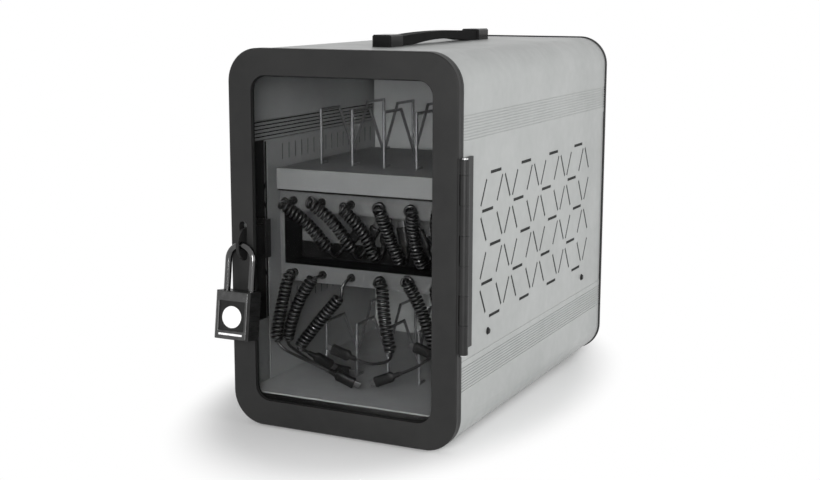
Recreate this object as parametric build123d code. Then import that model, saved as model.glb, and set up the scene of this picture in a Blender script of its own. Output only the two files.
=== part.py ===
from build123d import *
from typing import NamedTuple
import math
import os

# A portable charging station: a lockable cabinet of bent and folded sheet metal with a
# smoked window in its door. Inside, tablets stand in two tiers of wire dividers, and six
# curly cords a tier come out of a charger bank between them.
# Modelled with X across, Y to the rear from the door's front face, and Z up from the
# cabinet's underside. All sizes are in millimetres.

# Cabinet
HEIGHT = 480.0
WIDTH = 312.0
DEPTH = 555.0
CORNER_RADIUS = 40.0
SHELL_WALL = 2.5
SEAM_HEIGHT = 110.0
PANEL_THICKNESS = 2.5
PANEL_RECESS = 0.5
LIP_THICKNESS = 3.0
LIP_REACH = 11.0
RAIL_HEIGHT = 14.0
FOOT_HEIGHT = 4.0
FOOT_RADIUS = 12.0
FOOT_INSET = 56.0

# Fine ribs along the shells' sides
GROOVE_COUNT = 9
GROOVE_PITCH = 3.6
GROOVE_WIDTH = 1.2
GROOVE_DEPTH = 0.8
GROOVE_DROP = 8.0

# Side vents: slots on the edges of a lattice of equal triangles
VENT_PITCH = 52.5
VENT_LENGTH = 36.0
VENT_WIDTH = 4.0
VENT_MARGIN = 50.0
VENT_SHIFT = 3.0
SCREW_INSET = 86.0
SCREW_RISE = 20.7
SCREW_HEAD_RADIUS = 5.0
SCREW_HEAD_HEIGHT = 2.5
SCREW_RADIUS = 2.5

# Black rims at the front and the rear
FRONT_TRIM_DEPTH = 5.4
FRONT_TRIM_OVERHANG = 1.2
FRONT_TRIM_WIDTH = 18.0
REAR_TRIM_DEPTH = 4.0
REAR_TRIM_OVERHANG = 1.8
REAR_TRIM_WIDTH = 16.0
REAR_PANEL_THICKNESS = 2.0
REAR_PANEL_MARGIN = 6.5
LOUVRE_ROWS = 6
LOUVRE_PITCH = 14.0
LOUVRE_LENGTH = 70.0
LOUVRE_WIDTH = 4.0
LOUVRE_HEIGHT = 300.0

# Door
DOOR_THICKNESS = 9.0
DOOR_GAP = 0.6
DOOR_OVERHANG = 1.2
DOOR_RADIUS = 42.0
DOOR_BORDER = 33.0
WINDOW_RADIUS = 20.0
DOOR_CHAMFER = 1.5
REBATE_WIDTH = 5.8
GASKET_THICKNESS = 1.0
GASKET_LIP = 1.4
PANE_THICKNESS = 3.0
PANE_CLEARANCE = 0.3

# Hinge
HINGE_TOP = 358.0
KNUCKLE_FIRST = 18.0
KNUCKLE_LENGTH = 36.0
KNUCKLE_COUNT = 7
KNUCKLE_GAP = 0.4
BARREL_RADIUS = 5.5
LEAF_THICKNESS = 1.5
LEAF_GAP = 0.4
LEAF_REACH = 42.0
LEAF_DROP = 5.4
LEAF_NOTCH = 13.0
PIN_RADIUS = 2.4
PIN_CLEARANCE = 0.05
HINGE_AXIS_DEPTH = 3.0

# Latch, keeper and padlock
LATCH_INSET = 17.0
LATCH_THICKNESS = 4.0
LATCH_HEIGHT = 40.0
LATCH_BOTTOM = 214.0
LATCH_FRONT = 15.0
LATCH_BACK = 50.0
LATCH_NOSE_START = 1.0
LATCH_HOLE_DEPTH = 7.2
LATCH_HOLE_RISE = 19.8
LATCH_SLOT_WIDTH = 11.0
LATCH_SLOT_BELOW = 1.2
LATCH_LIFT = 8.0
KEEPER_SHEET = 2.0
KEEPER_CLEARANCE = 3.5
KEEPER_BEYOND = 3.0
KEEPER_RISE = 5.0
LOCK_RAIL_FRONT = 45.0
LOCK_RAIL_GAP = 0.5
SHACKLE_RADIUS = 4.35
SHACKLE_SPREAD = 17.9
SHACKLE_PLAY = 1.0
SHACKLE_REST = 0.7
SHACKLE_DEPTH = 20.0
SHACKLE_FIT = 0.06
PADLOCK_WIDTH = 50.0
PADLOCK_HEIGHT = 61.0
PADLOCK_DEPTH = 30.0
PADLOCK_DROP = 57.5
PADLOCK_SHIFT = 2.0
PADLOCK_LEAN = 8.0
PADLOCK_CHAMFER = 2.5
PADLOCK_PLATES = 10
PADLOCK_GROOVE = 1.2
PADLOCK_RECESS = 1.5
RECESS_MARGIN = 6.5
RECESS_LOW = 11.0
RECESS_HIGH = 12.5

# Carrying handle
HANDLE_FRONT = 113.5
HANDLE_LENGTH = 323.5
HANDLE_CAP_LENGTH = 38.0
HANDLE_CAP_WIDTH = 27.0
HANDLE_CAP_HEIGHT = 15.5
HANDLE_CAP_BEVEL = 2.0
STRAP_WIDTH = 22.0
STRAP_THICKNESS = 10.5
STRAP_RISE = 4.8
STRAP_CLEARANCE = 0.8
STRAP_SEAT = 14.0
STRAP_FLAT = 72.0

# Inside
SHEET = 1.5
LINER_SHEET = 1.2
INSIDE_HALF = 147.2
TRAY_FRONT = 19.0
TRAY_FLANGE = 15.5
TRAY_WEB = 108.0
FLOOR_TOP = 37.5
LOWER_BAY_HEIGHT = 139.5
BANK_HEIGHT = 121.0
SHELF_LIP = 27.0
BANK_HALF = 125.5
BANK_FRONT = 70.0
SHELF_FRONT = 62.0
SHELF_DEPTH = 268.0
LINER_FRONT = 73.0
PARTITION = 383.0
PARTITION_GAP = 5.0
TROUGH_DEPTH = 45.0
TROUGH_CHEEK = 6.0
UPPER_STRIP = 28.0
LOWER_STRIP = 22.0
CHEST_SLOT_FIRST = 112.0
CHEST_SLOT_PITCH = 17.0
CHEST_SLOT_COUNT = 16
CHEST_SLOT_WIDTH = 2.0
CHEST_SLOT_HEIGHT = 21.0
CHEST_SLOT_DROP = 8.0
CHEST_SLOT_BELOW_BANK = 26.0

# Wire dividers, each an M standing on two feet
DIVIDER_COUNT = 5
DIVIDER_PITCH = 46.3
WIRE_RADIUS = 2.0
UPPER_POST = 122.0
LOWER_POST = 132.0
DIVIDER_HEIGHT = 72.0
DIVIDER_LENGTH = 184.0
DIVIDER_SHOULDER = 50.0
DIVIDER_MIDDLE = 92.0
DIVIDER_VALLEY = 6.0
DIVIDER_FOOT = 16.0

# Power parts
SUPPLY_SIZE = (140.0, 128.0, 82.0)
SUPPLY_GAP = 14.0
CHARGER_SIZE = (200.0, 190.0, 90.0)
CHARGER_GAP = 10.0
INLET_X = -60.0
INLET_HEIGHT = 70.0
SWITCH_X = -14.0
SWITCH_RADIUS = 9.7
SWITCH_WIDTH = 15.0
SWITCH_CLEARANCE = 0.4
SWITCH_FRAME = 2.4

# Curly cords
CORD_RADIUS = 2.2
COIL_RADIUS = 5.9
CORD_SIDES = 6
CURLS = 8
EXIT_PITCH = 42.0
GROMMET_FLANGE = 2.0
GROMMET_RADIUS = 5.5
GROMMET_BARREL = 4.0
GROMMET_CLEARANCE = 0.05
UPPER_EXIT_DROP = 15.0
LOWER_EXIT_RISE = 11.0
PLUG_LENGTH = 25.0
PLUG_WIDTH = 13.0
PLUG_THICKNESS = 8.0
PLUG_RELIEF = 9.0
PLUG_TIP = (8.4, 2.6, 8.0)
EXIT_LEAD = 12.0

# Places that follow from the sizes
half_width = WIDTH / 2
trim_front = DOOR_THICKNESS + DOOR_GAP
shell_front = trim_front + FRONT_TRIM_DEPTH
shell_back = DEPTH - REAR_TRIM_DEPTH
shell_middle = (shell_front + shell_back) / 2
panel_outside = half_width - PANEL_RECESS
panel_inside = panel_outside - PANEL_THICKNESS
upper_seam = HEIGHT - SEAM_HEIGHT
door_edge = half_width + DOOR_OVERHANG
hinge_x = door_edge + LEAF_THICKNESS + LEAF_GAP + BARREL_RADIUS
latch_x = -(half_width - LATCH_INSET)
latch_hole_z = LATCH_BOTTOM + LATCH_HOLE_RISE
shackle_z = latch_hole_z - (SHACKLE_PLAY - SHACKLE_REST)
padlock_x = latch_x + PADLOCK_SHIFT
padlock_middle = -LATCH_HOLE_DEPTH
padlock_top = shackle_z - PADLOCK_DROP
padlock_low = padlock_top - PADLOCK_HEIGHT
bank_bottom = FLOOR_TOP + LOWER_BAY_HEIGHT
bank_top = bank_bottom + BANK_HEIGHT
shelf_top = bank_top + SHELF_LIP
trough_floor = bank_bottom + LOWER_STRIP
trough_top = bank_top - UPPER_STRIP
liner_top = upper_seam - LIP_REACH
grommet_face = BANK_FRONT - GROMMET_FLANGE
upper_exit_z = bank_top - UPPER_EXIT_DROP
lower_exit_z = bank_bottom + LOWER_EXIT_RISE
right_reach = hinge_x + BARREL_RADIUS
left_reach = padlock_x - PADLOCK_WIDTH / 2
lean = math.radians(PADLOCK_LEAN)
foot_swing = (latch_hole_z - padlock_low) * math.sin(lean)
front_reach = padlock_middle - PADLOCK_DEPTH / 2 * math.cos(lean) - foot_swing

# The finished part stands on the origin: the middle of its outline, under its feet
PLACE = Location((-(right_reach + left_reach) / 2, -(front_reach + DEPTH) / 2, FOOT_HEIGHT))


# Round pieces stand on their base's middle, or hang from it
STAND = (Align.CENTER, Align.CENTER, Align.MIN)
HANG = (Align.CENTER, Align.CENTER, Align.MAX)


def block(x, y, z):
    """A box between two limits on each axis."""
    size = Box(x[1] - x[0], y[1] - y[0], z[1] - z[0])
    return Pos((x[0] + x[1]) / 2, (y[0] + y[1]) / 2, (z[0] + z[1]) / 2) * size


def slab(outline, front, thickness):
    """An outline drawn in X and Z, given a thickness to the rear of Y = front."""
    plane = Plane(origin=(0, front + thickness, 0), x_dir=(1, 0, 0), z_dir=(0, -1, 0))
    return extrude(plane * outline, amount=thickness)


def across(outline, left, right):
    """An outline drawn in Y and Z, carried from X = left to X = right."""
    return extrude(Plane.YZ.offset(left) * outline, amount=right - left)


def upright(outline, low, high):
    """An outline drawn in X and Y, carried from Z = low to Z = high."""
    return extrude(Plane.XY.offset(low) * outline, amount=high - low)


def polygon(points):
    """A flat face with straight edges through the points."""
    return make_face(Polyline(*points, close=True))


def rounded(inset, radius):
    """The cabinet's rounded front outline, set in from its sides by inset."""
    shape = RectangleRounded(WIDTH - 2 * inset, HEIGHT - 2 * inset, radius)
    return Pos(0, HEIGHT / 2) * shape


def rect(x, z):
    """A rectangle between two limits on each axis of its plane."""
    size = Rectangle(x[1] - x[0], z[1] - z[0])
    return Pos((x[0] + x[1]) / 2, (z[0] + z[1]) / 2) * size


def shell(top):
    """The bent upper or lower shell, with the rails and lips that hold the side panels."""

    def level(z):
        return HEIGHT - z if top else z

    def span(low, high):
        return (level(high), level(low)) if top else (level(low), level(high))

    ring = rounded(0, CORNER_RADIUS) - rounded(SHELL_WALL, CORNER_RADIUS - SHELL_WALL)
    section = ring & rect((-half_width, half_width), span(0, SEAM_HEIGHT))
    lip_inside = panel_inside - LIP_THICKNESS
    lip_top = SEAM_HEIGHT + LIP_REACH
    for side in (-1, 1):
        rail = sorted((side * lip_inside, side * (half_width - SHELL_WALL / 2)))
        lip = sorted((side * lip_inside, side * panel_inside))
        section += rect(rail, span(SEAM_HEIGHT - RAIL_HEIGHT, SEAM_HEIGHT))
        section += rect(lip, span(SEAM_HEIGHT - RAIL_HEIGHT, lip_top))
        for k in range(GROOVE_COUNT):
            z = SEAM_HEIGHT - GROOVE_DROP - k * GROOVE_PITCH
            groove = sorted((side * (half_width - GROOVE_DEPTH), side * (half_width + 1)))
            section -= rect(groove, span(z - GROOVE_WIDTH / 2, z + GROOVE_WIDTH / 2))
    return slab(section, shell_front, shell_back - shell_front)


def vent_places():
    """Where the vent slots of a side panel lie, as (Y, Z, turn in degrees)."""
    row = VENT_PITCH * math.sqrt(3) / 2
    length = shell_back - shell_front - 2 * VENT_MARGIN
    repeats = int(length // (2 * VENT_PITCH))
    first = shell_middle - VENT_SHIFT - (repeats - 0.5) * VENT_PITCH
    places = []
    for j in range(repeats):
        for level in range(5):
            shift = 2 * j + (0.5 if level % 2 == 0 else 0.0)
            places.append((first + shift * VENT_PITCH, HEIGHT / 2 + (2 - level) * row, 0))
        for band in range(4):
            way = 60 if band % 2 == 0 else -60
            for shift, lean in ((-0.25, 1), (0.75, 1), (1.25, -1)):
                y = first + (2 * j + shift) * VENT_PITCH
                places.append((y, HEIGHT / 2 + (1.5 - band) * row, way * lean))
    return places


def screw_places():
    """Where the two screws of a side panel sit, as (Y, Z)."""
    z = SEAM_HEIGHT + SCREW_RISE
    return [(shell_front + SCREW_INSET, z), (shell_back - SCREW_INSET, z)]


def side_panel(side):
    """A flat side panel with its lattice of slots and its screw holes."""
    face = rect((shell_front, shell_back), (SEAM_HEIGHT, upper_seam))
    slots = [
        Pos(y, z) * Rot(0, 0, turn) * Rectangle(VENT_LENGTH, VENT_WIDTH)
        for y, z, turn in vent_places()
    ]
    holes = [Pos(y, z) * Circle(SCREW_RADIUS) for y, z in screw_places()]
    limits = sorted((side * panel_inside, side * panel_outside))
    return across(face - slots - holes, *limits)


def side_screws():
    """Round-headed screws through the side panels."""
    screws = []
    for side in (-1, 1):
        for y, z in screw_places():
            shank = Cylinder(SCREW_RADIUS, PANEL_THICKNESS + 1.5, align=HANG)
            head = Cone(SCREW_HEAD_RADIUS, SCREW_HEAD_RADIUS * 0.6, SCREW_HEAD_HEIGHT, align=STAND)
            place = Location((side * panel_outside, y, z), (0, 90 * side, 0))
            screws.append(place * (shank + head))
    return screws


def front_trim():
    """The black rim that the door closes against, notched for the latch."""
    outline = rounded(-FRONT_TRIM_OVERHANG, DOOR_RADIUS)
    outline -= rounded(FRONT_TRIM_WIDTH, CORNER_RADIUS - FRONT_TRIM_WIDTH + 2)
    notch_top = LATCH_BOTTOM + LATCH_HEIGHT + LATCH_LIFT + 10
    notch = rect((latch_x - 8, latch_x + 8), (LATCH_BOTTOM - 12, notch_top))
    return slab(outline - notch, trim_front, FRONT_TRIM_DEPTH)


def rear_trim():
    """The black rim round the rear edge."""
    outline = rounded(-REAR_TRIM_OVERHANG, CORNER_RADIUS + REAR_TRIM_OVERHANG)
    outline -= rounded(REAR_TRIM_WIDTH, CORNER_RADIUS - REAR_TRIM_WIDTH)
    return slab(outline, shell_back, REAR_TRIM_DEPTH)


def inlet_outline(clearance=0.0):
    """The outline of the mains inlet's body."""
    outline = RectangleRounded(27.5 + 2 * clearance, 20 + 2 * clearance, 2)
    return Pos(INLET_X, INLET_HEIGHT) * outline


def switch_outline(clearance=0.0):
    """The outline of the switch frame's body."""
    width = SWITCH_WIDTH + 2 * (SWITCH_CLEARANCE + SWITCH_FRAME + clearance)
    height = 2 * (SWITCH_RADIUS + SWITCH_CLEARANCE + SWITCH_FRAME + clearance)
    return Pos(SWITCH_X, INLET_HEIGHT) * Rectangle(width, height)


def rear_panel():
    """The rear panel, with louvre slots and the cut-outs for the inlet and the switch."""
    face = rounded(REAR_PANEL_MARGIN, CORNER_RADIUS - REAR_PANEL_MARGIN)
    slots = []
    for column in (-1, 1):
        for k in range(LOUVRE_ROWS):
            z = LOUVRE_HEIGHT + k * LOUVRE_PITCH
            place = Pos(column * (LOUVRE_LENGTH / 2 + 12), z)
            slots.append(place * Rectangle(LOUVRE_LENGTH, LOUVRE_WIDTH))
    face = face - slots - inlet_outline() - switch_outline()
    return slab(face, shell_back - REAR_PANEL_THICKNESS, REAR_PANEL_THICKNESS)


def liner(side):
    """A perforated inner wall, flanged at its top to the shell's lip."""
    face = rect((LINER_FRONT, PARTITION), (FLOOR_TOP, liner_top))
    slots = []
    for k in range(CHEST_SLOT_COUNT):
        y = CHEST_SLOT_FIRST + k * CHEST_SLOT_PITCH
        for top in (liner_top - CHEST_SLOT_DROP, bank_bottom - CHEST_SLOT_BELOW_BANK):
            place = Pos(y, top - CHEST_SLOT_HEIGHT / 2)
            slots.append(place * Rectangle(CHEST_SLOT_WIDTH, CHEST_SLOT_HEIGHT))
    inner = INSIDE_HALF - LINER_SHEET
    wall = across(face - slots, *sorted((side * inner, side * INSIDE_HALF)))
    flange = sorted((side * inner, side * (panel_inside - 0.5)))
    return wall + block(flange, (LINER_FRONT, PARTITION), (liner_top - LINER_SHEET, liner_top))


def floor_tray():
    """The raised floor on two long webs, with a folded front edge."""
    back = shell_back - REAR_PANEL_THICKNESS - 4
    tray = block((-INSIDE_HALF, INSIDE_HALF), (TRAY_FRONT, back), (FLOOR_TOP - SHEET, FLOOR_TOP))
    low = FLOOR_TOP - TRAY_FLANGE
    tray += block((-INSIDE_HALF, INSIDE_HALF), (TRAY_FRONT, TRAY_FRONT + SHEET), (low, FLOOR_TOP))
    for side in (-1, 1):
        web = sorted((side * TRAY_WEB, side * (TRAY_WEB + SHEET)))
        tray += block(web, (TRAY_FRONT, back), (SHELL_WALL, FLOOR_TOP))
    return tray


def back_partition():
    """The wall behind the tablets, which hides the power supply."""
    top = HEIGHT - SHELL_WALL - PARTITION_GAP
    half_shape = RectangleRounded(2 * INSIDE_HALF, 2 * (top - HEIGHT / 2), CORNER_RADIUS - 4)
    upper = Pos(0, HEIGHT / 2) * half_shape
    outline = upper & rect((-INSIDE_HALF, INSIDE_HALF), (HEIGHT / 2, top))
    outline += rect((-INSIDE_HALF, INSIDE_HALF), (FLOOR_TOP, HEIGHT / 2))
    return slab(outline, PARTITION, LINER_SHEET)


def shelf_tray():
    """The upper tier's shelf: a folded tray that stands on the charger bank."""
    back = SHELF_FRONT + SHELF_DEPTH
    inner = BANK_HALF - SHEET
    body = block((-BANK_HALF, BANK_HALF), (SHELF_FRONT, back), (bank_top, shelf_top))
    depth = (SHELF_FRONT + SHEET, back - SHEET)
    return body - block((-inner, inner), depth, (bank_top - 1, shelf_top - SHEET))


def bank_housing():
    """The charger bank's housing, with a deep trough for the plugs across its front."""
    body = block((-BANK_HALF, BANK_HALF), (BANK_FRONT, PARTITION), (bank_bottom, bank_top))
    trough_half = BANK_HALF - TROUGH_CHEEK
    trough_back = BANK_FRONT + TROUGH_DEPTH
    height = (trough_floor, trough_top)
    trough = block((-trough_half, trough_half), (BANK_FRONT - 1, trough_back), height)
    inner = BANK_HALF - SHEET
    depth = (BANK_FRONT + SHEET, PARTITION + 1)
    hollow = block((-inner, inner), depth, (bank_bottom + SHEET, bank_top - SHEET))
    wall = trough_half + SHEET
    height = (trough_floor - SHEET, trough_top + SHEET)
    hollow -= block((-wall, wall), (BANK_FRONT, trough_back + SHEET), height)
    housing = body - trough - hollow
    hole = Cylinder(GROMMET_BARREL + GROMMET_CLEARANCE, 3 * SHEET)
    holes = [
        Location((x, BANK_FRONT + SHEET / 2, z), (90, 0, 0)) * hole
        for x in exit_places()
        for z in (upper_exit_z, lower_exit_z)
    ]
    return housing - holes


def exit_places():
    """The X of each cord exit in a row."""
    return [EXIT_PITCH * (k - 2.5) for k in range(6)]


def grommets(z):
    """A row of rubber grommets in the charger bank's front."""
    made = []
    for x in exit_places():
        flange = Cylinder(GROMMET_RADIUS, GROMMET_FLANGE, align=STAND)
        barrel = Pos(0, 0, GROMMET_FLANGE) * Cylinder(GROMMET_BARREL, 2 * SHEET, align=STAND)
        made.append(Location((x, grommet_face, z), (-90, 0, 0)) * (flange + barrel))
    return made


def divider(x, post, base):
    """One bent wire divider: an M with two feet turned to the rear."""
    low = base + WIRE_RADIUS
    high = base + DIVIDER_HEIGHT
    back = post + DIVIDER_LENGTH
    points = [
        (x, post + DIVIDER_FOOT, low),
        (x, post, low),
        (x, post, high),
        (x, post + DIVIDER_SHOULDER, high),
        (x, post + DIVIDER_MIDDLE, low + DIVIDER_VALLEY),
        (x, back - DIVIDER_SHOULDER, high),
        (x, back, high),
        (x, back, low),
        (x, back + DIVIDER_FOOT, low),
    ]
    path = Polyline(*points)
    section = Plane(origin=points[0], z_dir=(0, -1, 0)) * Circle(WIRE_RADIUS)
    return sweep(section, path=path, transition=Transition.RIGHT)


def door_frame():
    """The door's frame, rebated behind for the pane and slotted for the latch."""
    outline = rounded(-DOOR_OVERHANG, DOOR_RADIUS)
    body = slab(outline, 0, DOOR_THICKNESS)
    front_edges = body.faces().sort_by(Axis.Y)[0].edges()
    body = chamfer(front_edges, DOOR_CHAMFER)
    border = DOOR_BORDER - DOOR_OVERHANG
    window = slab(rounded(border, WINDOW_RADIUS), -1, DOOR_THICKNESS + 2)
    rebate_front = DOOR_THICKNESS - PANE_THICKNESS - GASKET_THICKNESS
    rebate = rounded(border - REBATE_WIDTH, WINDOW_RADIUS + REBATE_WIDTH)
    body = body - window - slab(rebate, rebate_front, DOOR_THICKNESS)
    slot_low = LATCH_BOTTOM - LATCH_SLOT_BELOW
    slot_height = LATCH_HEIGHT + LATCH_LIFT + 2 * LATCH_SLOT_BELOW
    slot = Pos(latch_x, slot_low + slot_height / 2) * RectangleRounded(
        LATCH_SLOT_WIDTH, slot_height, LATCH_SLOT_WIDTH / 2 - 0.5)
    return body - slab(slot, -1, DOOR_THICKNESS + 2)


def pane_gasket():
    """The rubber strip between the frame and the pane."""
    border = DOOR_BORDER - DOOR_OVERHANG
    outside = border - REBATE_WIDTH + PANE_CLEARANCE
    outline = rounded(outside, WINDOW_RADIUS + REBATE_WIDTH - PANE_CLEARANCE)
    outline -= rounded(border + GASKET_LIP, WINDOW_RADIUS - GASKET_LIP)
    front = DOOR_THICKNESS - PANE_THICKNESS - GASKET_THICKNESS
    return slab(outline, front, GASKET_THICKNESS)


def window_pane():
    """The smoked pane, flush with the back of the door."""
    outside = DOOR_BORDER - DOOR_OVERHANG - REBATE_WIDTH + PANE_CLEARANCE
    outline = rounded(outside, WINDOW_RADIUS + REBATE_WIDTH - PANE_CLEARANCE)
    return slab(outline, DOOR_THICKNESS - PANE_THICKNESS, PANE_THICKNESS)


def knuckles():
    """The hinge's knuckles from the top, as (low Z, high Z), with the door's first."""
    spans = []
    top = HINGE_TOP
    for k in range(KNUCKLE_COUNT):
        length = KNUCKLE_FIRST if k == 0 else KNUCKLE_LENGTH
        spans.append((top - length + KNUCKLE_GAP, top))
        top -= length
    return spans


def hinge_door_leaf():
    """The leaf on the door's edge, with every second knuckle."""
    spans = knuckles()
    low = spans[-1][0]
    outside = door_edge + LEAF_THICKNESS
    plate = block((door_edge, outside), (KNUCKLE_GAP, DOOR_THICKNESS - KNUCKLE_GAP), (low, HINGE_TOP))
    web = (HINGE_AXIS_DEPTH - 2, HINGE_AXIS_DEPTH + 2)
    for z0, z1 in spans[0::2]:
        barrel = Pos(hinge_x, HINGE_AXIS_DEPTH) * Circle(BARREL_RADIUS)
        barrel += rect((outside - LEAF_THICKNESS / 2, hinge_x), web)
        bore = Pos(hinge_x, HINGE_AXIS_DEPTH) * Circle(PIN_RADIUS + PIN_CLEARANCE)
        plate += upright(barrel - bore, z0, z1)
    return plate


def hinge_body_leaf():
    """The leaf on the cabinet's side, with the other knuckles."""
    spans = knuckles()
    low = spans[-1][0]
    outside = door_edge + LEAF_THICKNESS
    near = trim_front + 0.3
    plan = rect((half_width, outside), (shell_front, LEAF_REACH))
    plan += rect((door_edge, outside), (near, shell_front))
    leaf = upright(plan, low - LEAF_DROP, HINGE_TOP)
    notch = (LEAF_REACH - LEAF_NOTCH, LEAF_REACH + 1)
    leaf -= block((half_width - 1, outside + 1), notch, (low - LEAF_DROP - 1, low + 1.5))
    for z0, z1 in spans[1::2]:
        web = polygon([
            (outside, near),
            (outside + 0.5, near - 1.0),
            (outside + 0.5, HINGE_AXIS_DEPTH),
            (hinge_x, HINGE_AXIS_DEPTH),
            (hinge_x, HINGE_AXIS_DEPTH + BARREL_RADIUS),
            (outside + 1.8, near + 1.2),
            (outside, near + 2.6),
        ])
        knuckle = web + Pos(hinge_x, HINGE_AXIS_DEPTH) * Circle(BARREL_RADIUS)
        knuckle -= Pos(hinge_x, HINGE_AXIS_DEPTH) * Circle(PIN_RADIUS)
        leaf += upright(knuckle, z0, z1)
    return leaf


def hinge_pin():
    """The pin through the knuckles, headed at both ends."""
    low = knuckles()[-1][0] - 0.3
    high = HINGE_TOP + 0.3
    axis = Pos(hinge_x, HINGE_AXIS_DEPTH)
    pin = upright(axis * Circle(PIN_RADIUS), low, high)
    pin += upright(axis * Circle(PIN_RADIUS + 1.4), low - 1.5, low)
    return pin + upright(axis * Circle(PIN_RADIUS + 1.4), high, high + 1.5)


def latch_slide():
    """The flat latch: a tongue through the door's slot, with the padlock's hole in its
    round nose."""
    top = LATCH_BOTTOM + LATCH_HEIGHT
    nose = ThreePointArc(
        (-LATCH_NOSE_START, LATCH_BOTTOM),
        (-LATCH_FRONT, (LATCH_BOTTOM + top) / 2),
        (-LATCH_NOSE_START, top),
    )
    tongue = Polyline(
        (-LATCH_NOSE_START, top),
        (LATCH_BACK - 4, top),
        (LATCH_BACK, top - 4),
        (LATCH_BACK, LATCH_BOTTOM + 4),
        (LATCH_BACK - 4, LATCH_BOTTOM),
        (-LATCH_NOSE_START, LATCH_BOTTOM),
    )
    outline = make_face([nose, *tongue.edges()])
    outline -= Pos(-LATCH_HOLE_DEPTH, latch_hole_z) * Circle(SHACKLE_RADIUS + SHACKLE_PLAY)
    return across(outline, latch_x - LATCH_THICKNESS / 2, latch_x + LATCH_THICKNESS / 2)


def keeper():
    """The forked bracket on the left wall that the latch's tongue enters."""
    gap = LATCH_THICKNESS / 2 + KEEPER_CLEARANCE
    back = LATCH_BACK + KEEPER_BEYOND
    front = LATCH_BACK - 7
    outer = latch_x - gap - KEEPER_SHEET
    inner = latch_x + gap + KEEPER_SHEET
    plan = rect((-panel_inside, inner), (back, back + KEEPER_SHEET))
    plan += rect((outer, outer + KEEPER_SHEET), (front, back + KEEPER_SHEET))
    plan += rect((inner - KEEPER_SHEET, inner), (front, back + KEEPER_SHEET))
    plan += rect((-panel_inside, -panel_inside + KEEPER_SHEET), (back, back + 20))
    return upright(plan, LATCH_BOTTOM - KEEPER_RISE, LATCH_BOTTOM + LATCH_HEIGHT + KEEPER_RISE)


def lock_rail():
    """Two dark strips that stiffen the left wall above and below the keeper."""
    x = (-panel_inside, -panel_inside + KEEPER_SHEET)
    y = (LOCK_RAIL_FRONT, LINER_FRONT - LOCK_RAIL_GAP)
    low = SEAM_HEIGHT + LIP_REACH + LOCK_RAIL_GAP
    keeper_low = LATCH_BOTTOM - KEEPER_RISE - LOCK_RAIL_GAP
    keeper_high = LATCH_BOTTOM + LATCH_HEIGHT + KEEPER_RISE + LOCK_RAIL_GAP
    return [block(x, y, (low, keeper_low)), block(x, y, (keeper_high, liner_top - LOCK_RAIL_GAP))]


def leaning(piece):
    """Swings a hanging piece of the padlock about the latch's hole, out at its foot, until
    the body's top rests on the door."""
    hole = Pos(0, padlock_middle, latch_hole_z)
    return hole * Rot(-PADLOCK_LEAN, 0, 0) * hole.inverse() * piece


def padlock_shackle():
    """The padlock's steel bow, which hangs in the latch's hole."""
    foot = padlock_top - SHACKLE_DEPTH
    shoulder = shackle_z - SHACKLE_SPREAD
    left = (padlock_x - SHACKLE_SPREAD, padlock_middle)
    right = (padlock_x + SHACKLE_SPREAD, padlock_middle)
    crown = (padlock_x, padlock_middle, shackle_z)
    up = Line((*left, foot), (*left, shoulder))
    bow = ThreePointArc((*left, shoulder), crown, (*right, shoulder))
    down = Line((*right, shoulder), (*right, foot))
    section = Plane.XY.offset(foot) * Pos(*left) * Circle(SHACKLE_RADIUS)
    return leaning(sweep(section, path=Wire([up, bow, down])))


def padlock_body():
    """The padlock's body: grooved sides, a recessed front and bores for the bow."""
    body = Pos(padlock_x, padlock_middle, padlock_low + PADLOCK_HEIGHT / 2) * Box(
        PADLOCK_WIDTH, PADLOCK_DEPTH, PADLOCK_HEIGHT)
    body = chamfer(body.edges().filter_by(Axis.Z), PADLOCK_CHAMFER)
    front = padlock_middle - PADLOCK_DEPTH / 2
    half = PADLOCK_WIDTH / 2 - RECESS_MARGIN
    height = (padlock_low + RECESS_LOW, padlock_top - RECESS_HIGH)
    recess = rect((padlock_x - half, padlock_x + half), height)
    body -= slab(recess, front - 1, PADLOCK_RECESS + 1)
    for k in range(1, PADLOCK_PLATES):
        z = padlock_low + k * PADLOCK_HEIGHT / PADLOCK_PLATES
        groove = (z - PADLOCK_GROOVE / 2, z + PADLOCK_GROOVE / 2)
        depth = (front + PADLOCK_CHAMFER + 1, front + PADLOCK_DEPTH - PADLOCK_CHAMFER - 1)
        for side in (-1, 1):
            edge = padlock_x + side * PADLOCK_WIDTH / 2
            body -= block(sorted((edge - side, edge + side)), depth, groove)
    for side in (-1, 1):
        bore = Circle(SHACKLE_RADIUS + SHACKLE_FIT)
        place = Pos(padlock_x + side * SHACKLE_SPREAD, padlock_middle)
        body -= upright(place * bore, padlock_top - SHACKLE_DEPTH - 2, padlock_top + 1)
    keyway = Pos(padlock_x, padlock_middle) * Rectangle(9, 2.5)
    return leaning(body - upright(keyway, padlock_low - 1, padlock_low + 12))


def handle_strap():
    """The carrying handle's strap: flat at both ends, arched off the lid between them."""
    start = HANDLE_FRONT + STRAP_SEAT
    end = HANDLE_FRONT + HANDLE_LENGTH - STRAP_SEAT
    lift = HANDLE_FRONT + STRAP_FLAT
    land = HANDLE_FRONT + HANDLE_LENGTH - STRAP_FLAT
    middle = (start + end) / 2
    low = HEIGHT + STRAP_CLEARANCE
    high = low + STRAP_THICKNESS
    outline = make_face([
        Line((start, low), (lift, low)),
        ThreePointArc((lift, low), (middle, low + STRAP_RISE), (land, low)),
        Line((land, low), (end, low)),
        Line((end, low), (end, high)),
        ThreePointArc((end, high), (middle, high + STRAP_RISE), (start, high)),
        Line((start, high), (start, low)),
    ])
    return across(outline, -STRAP_WIDTH / 2, STRAP_WIDTH / 2)


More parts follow.
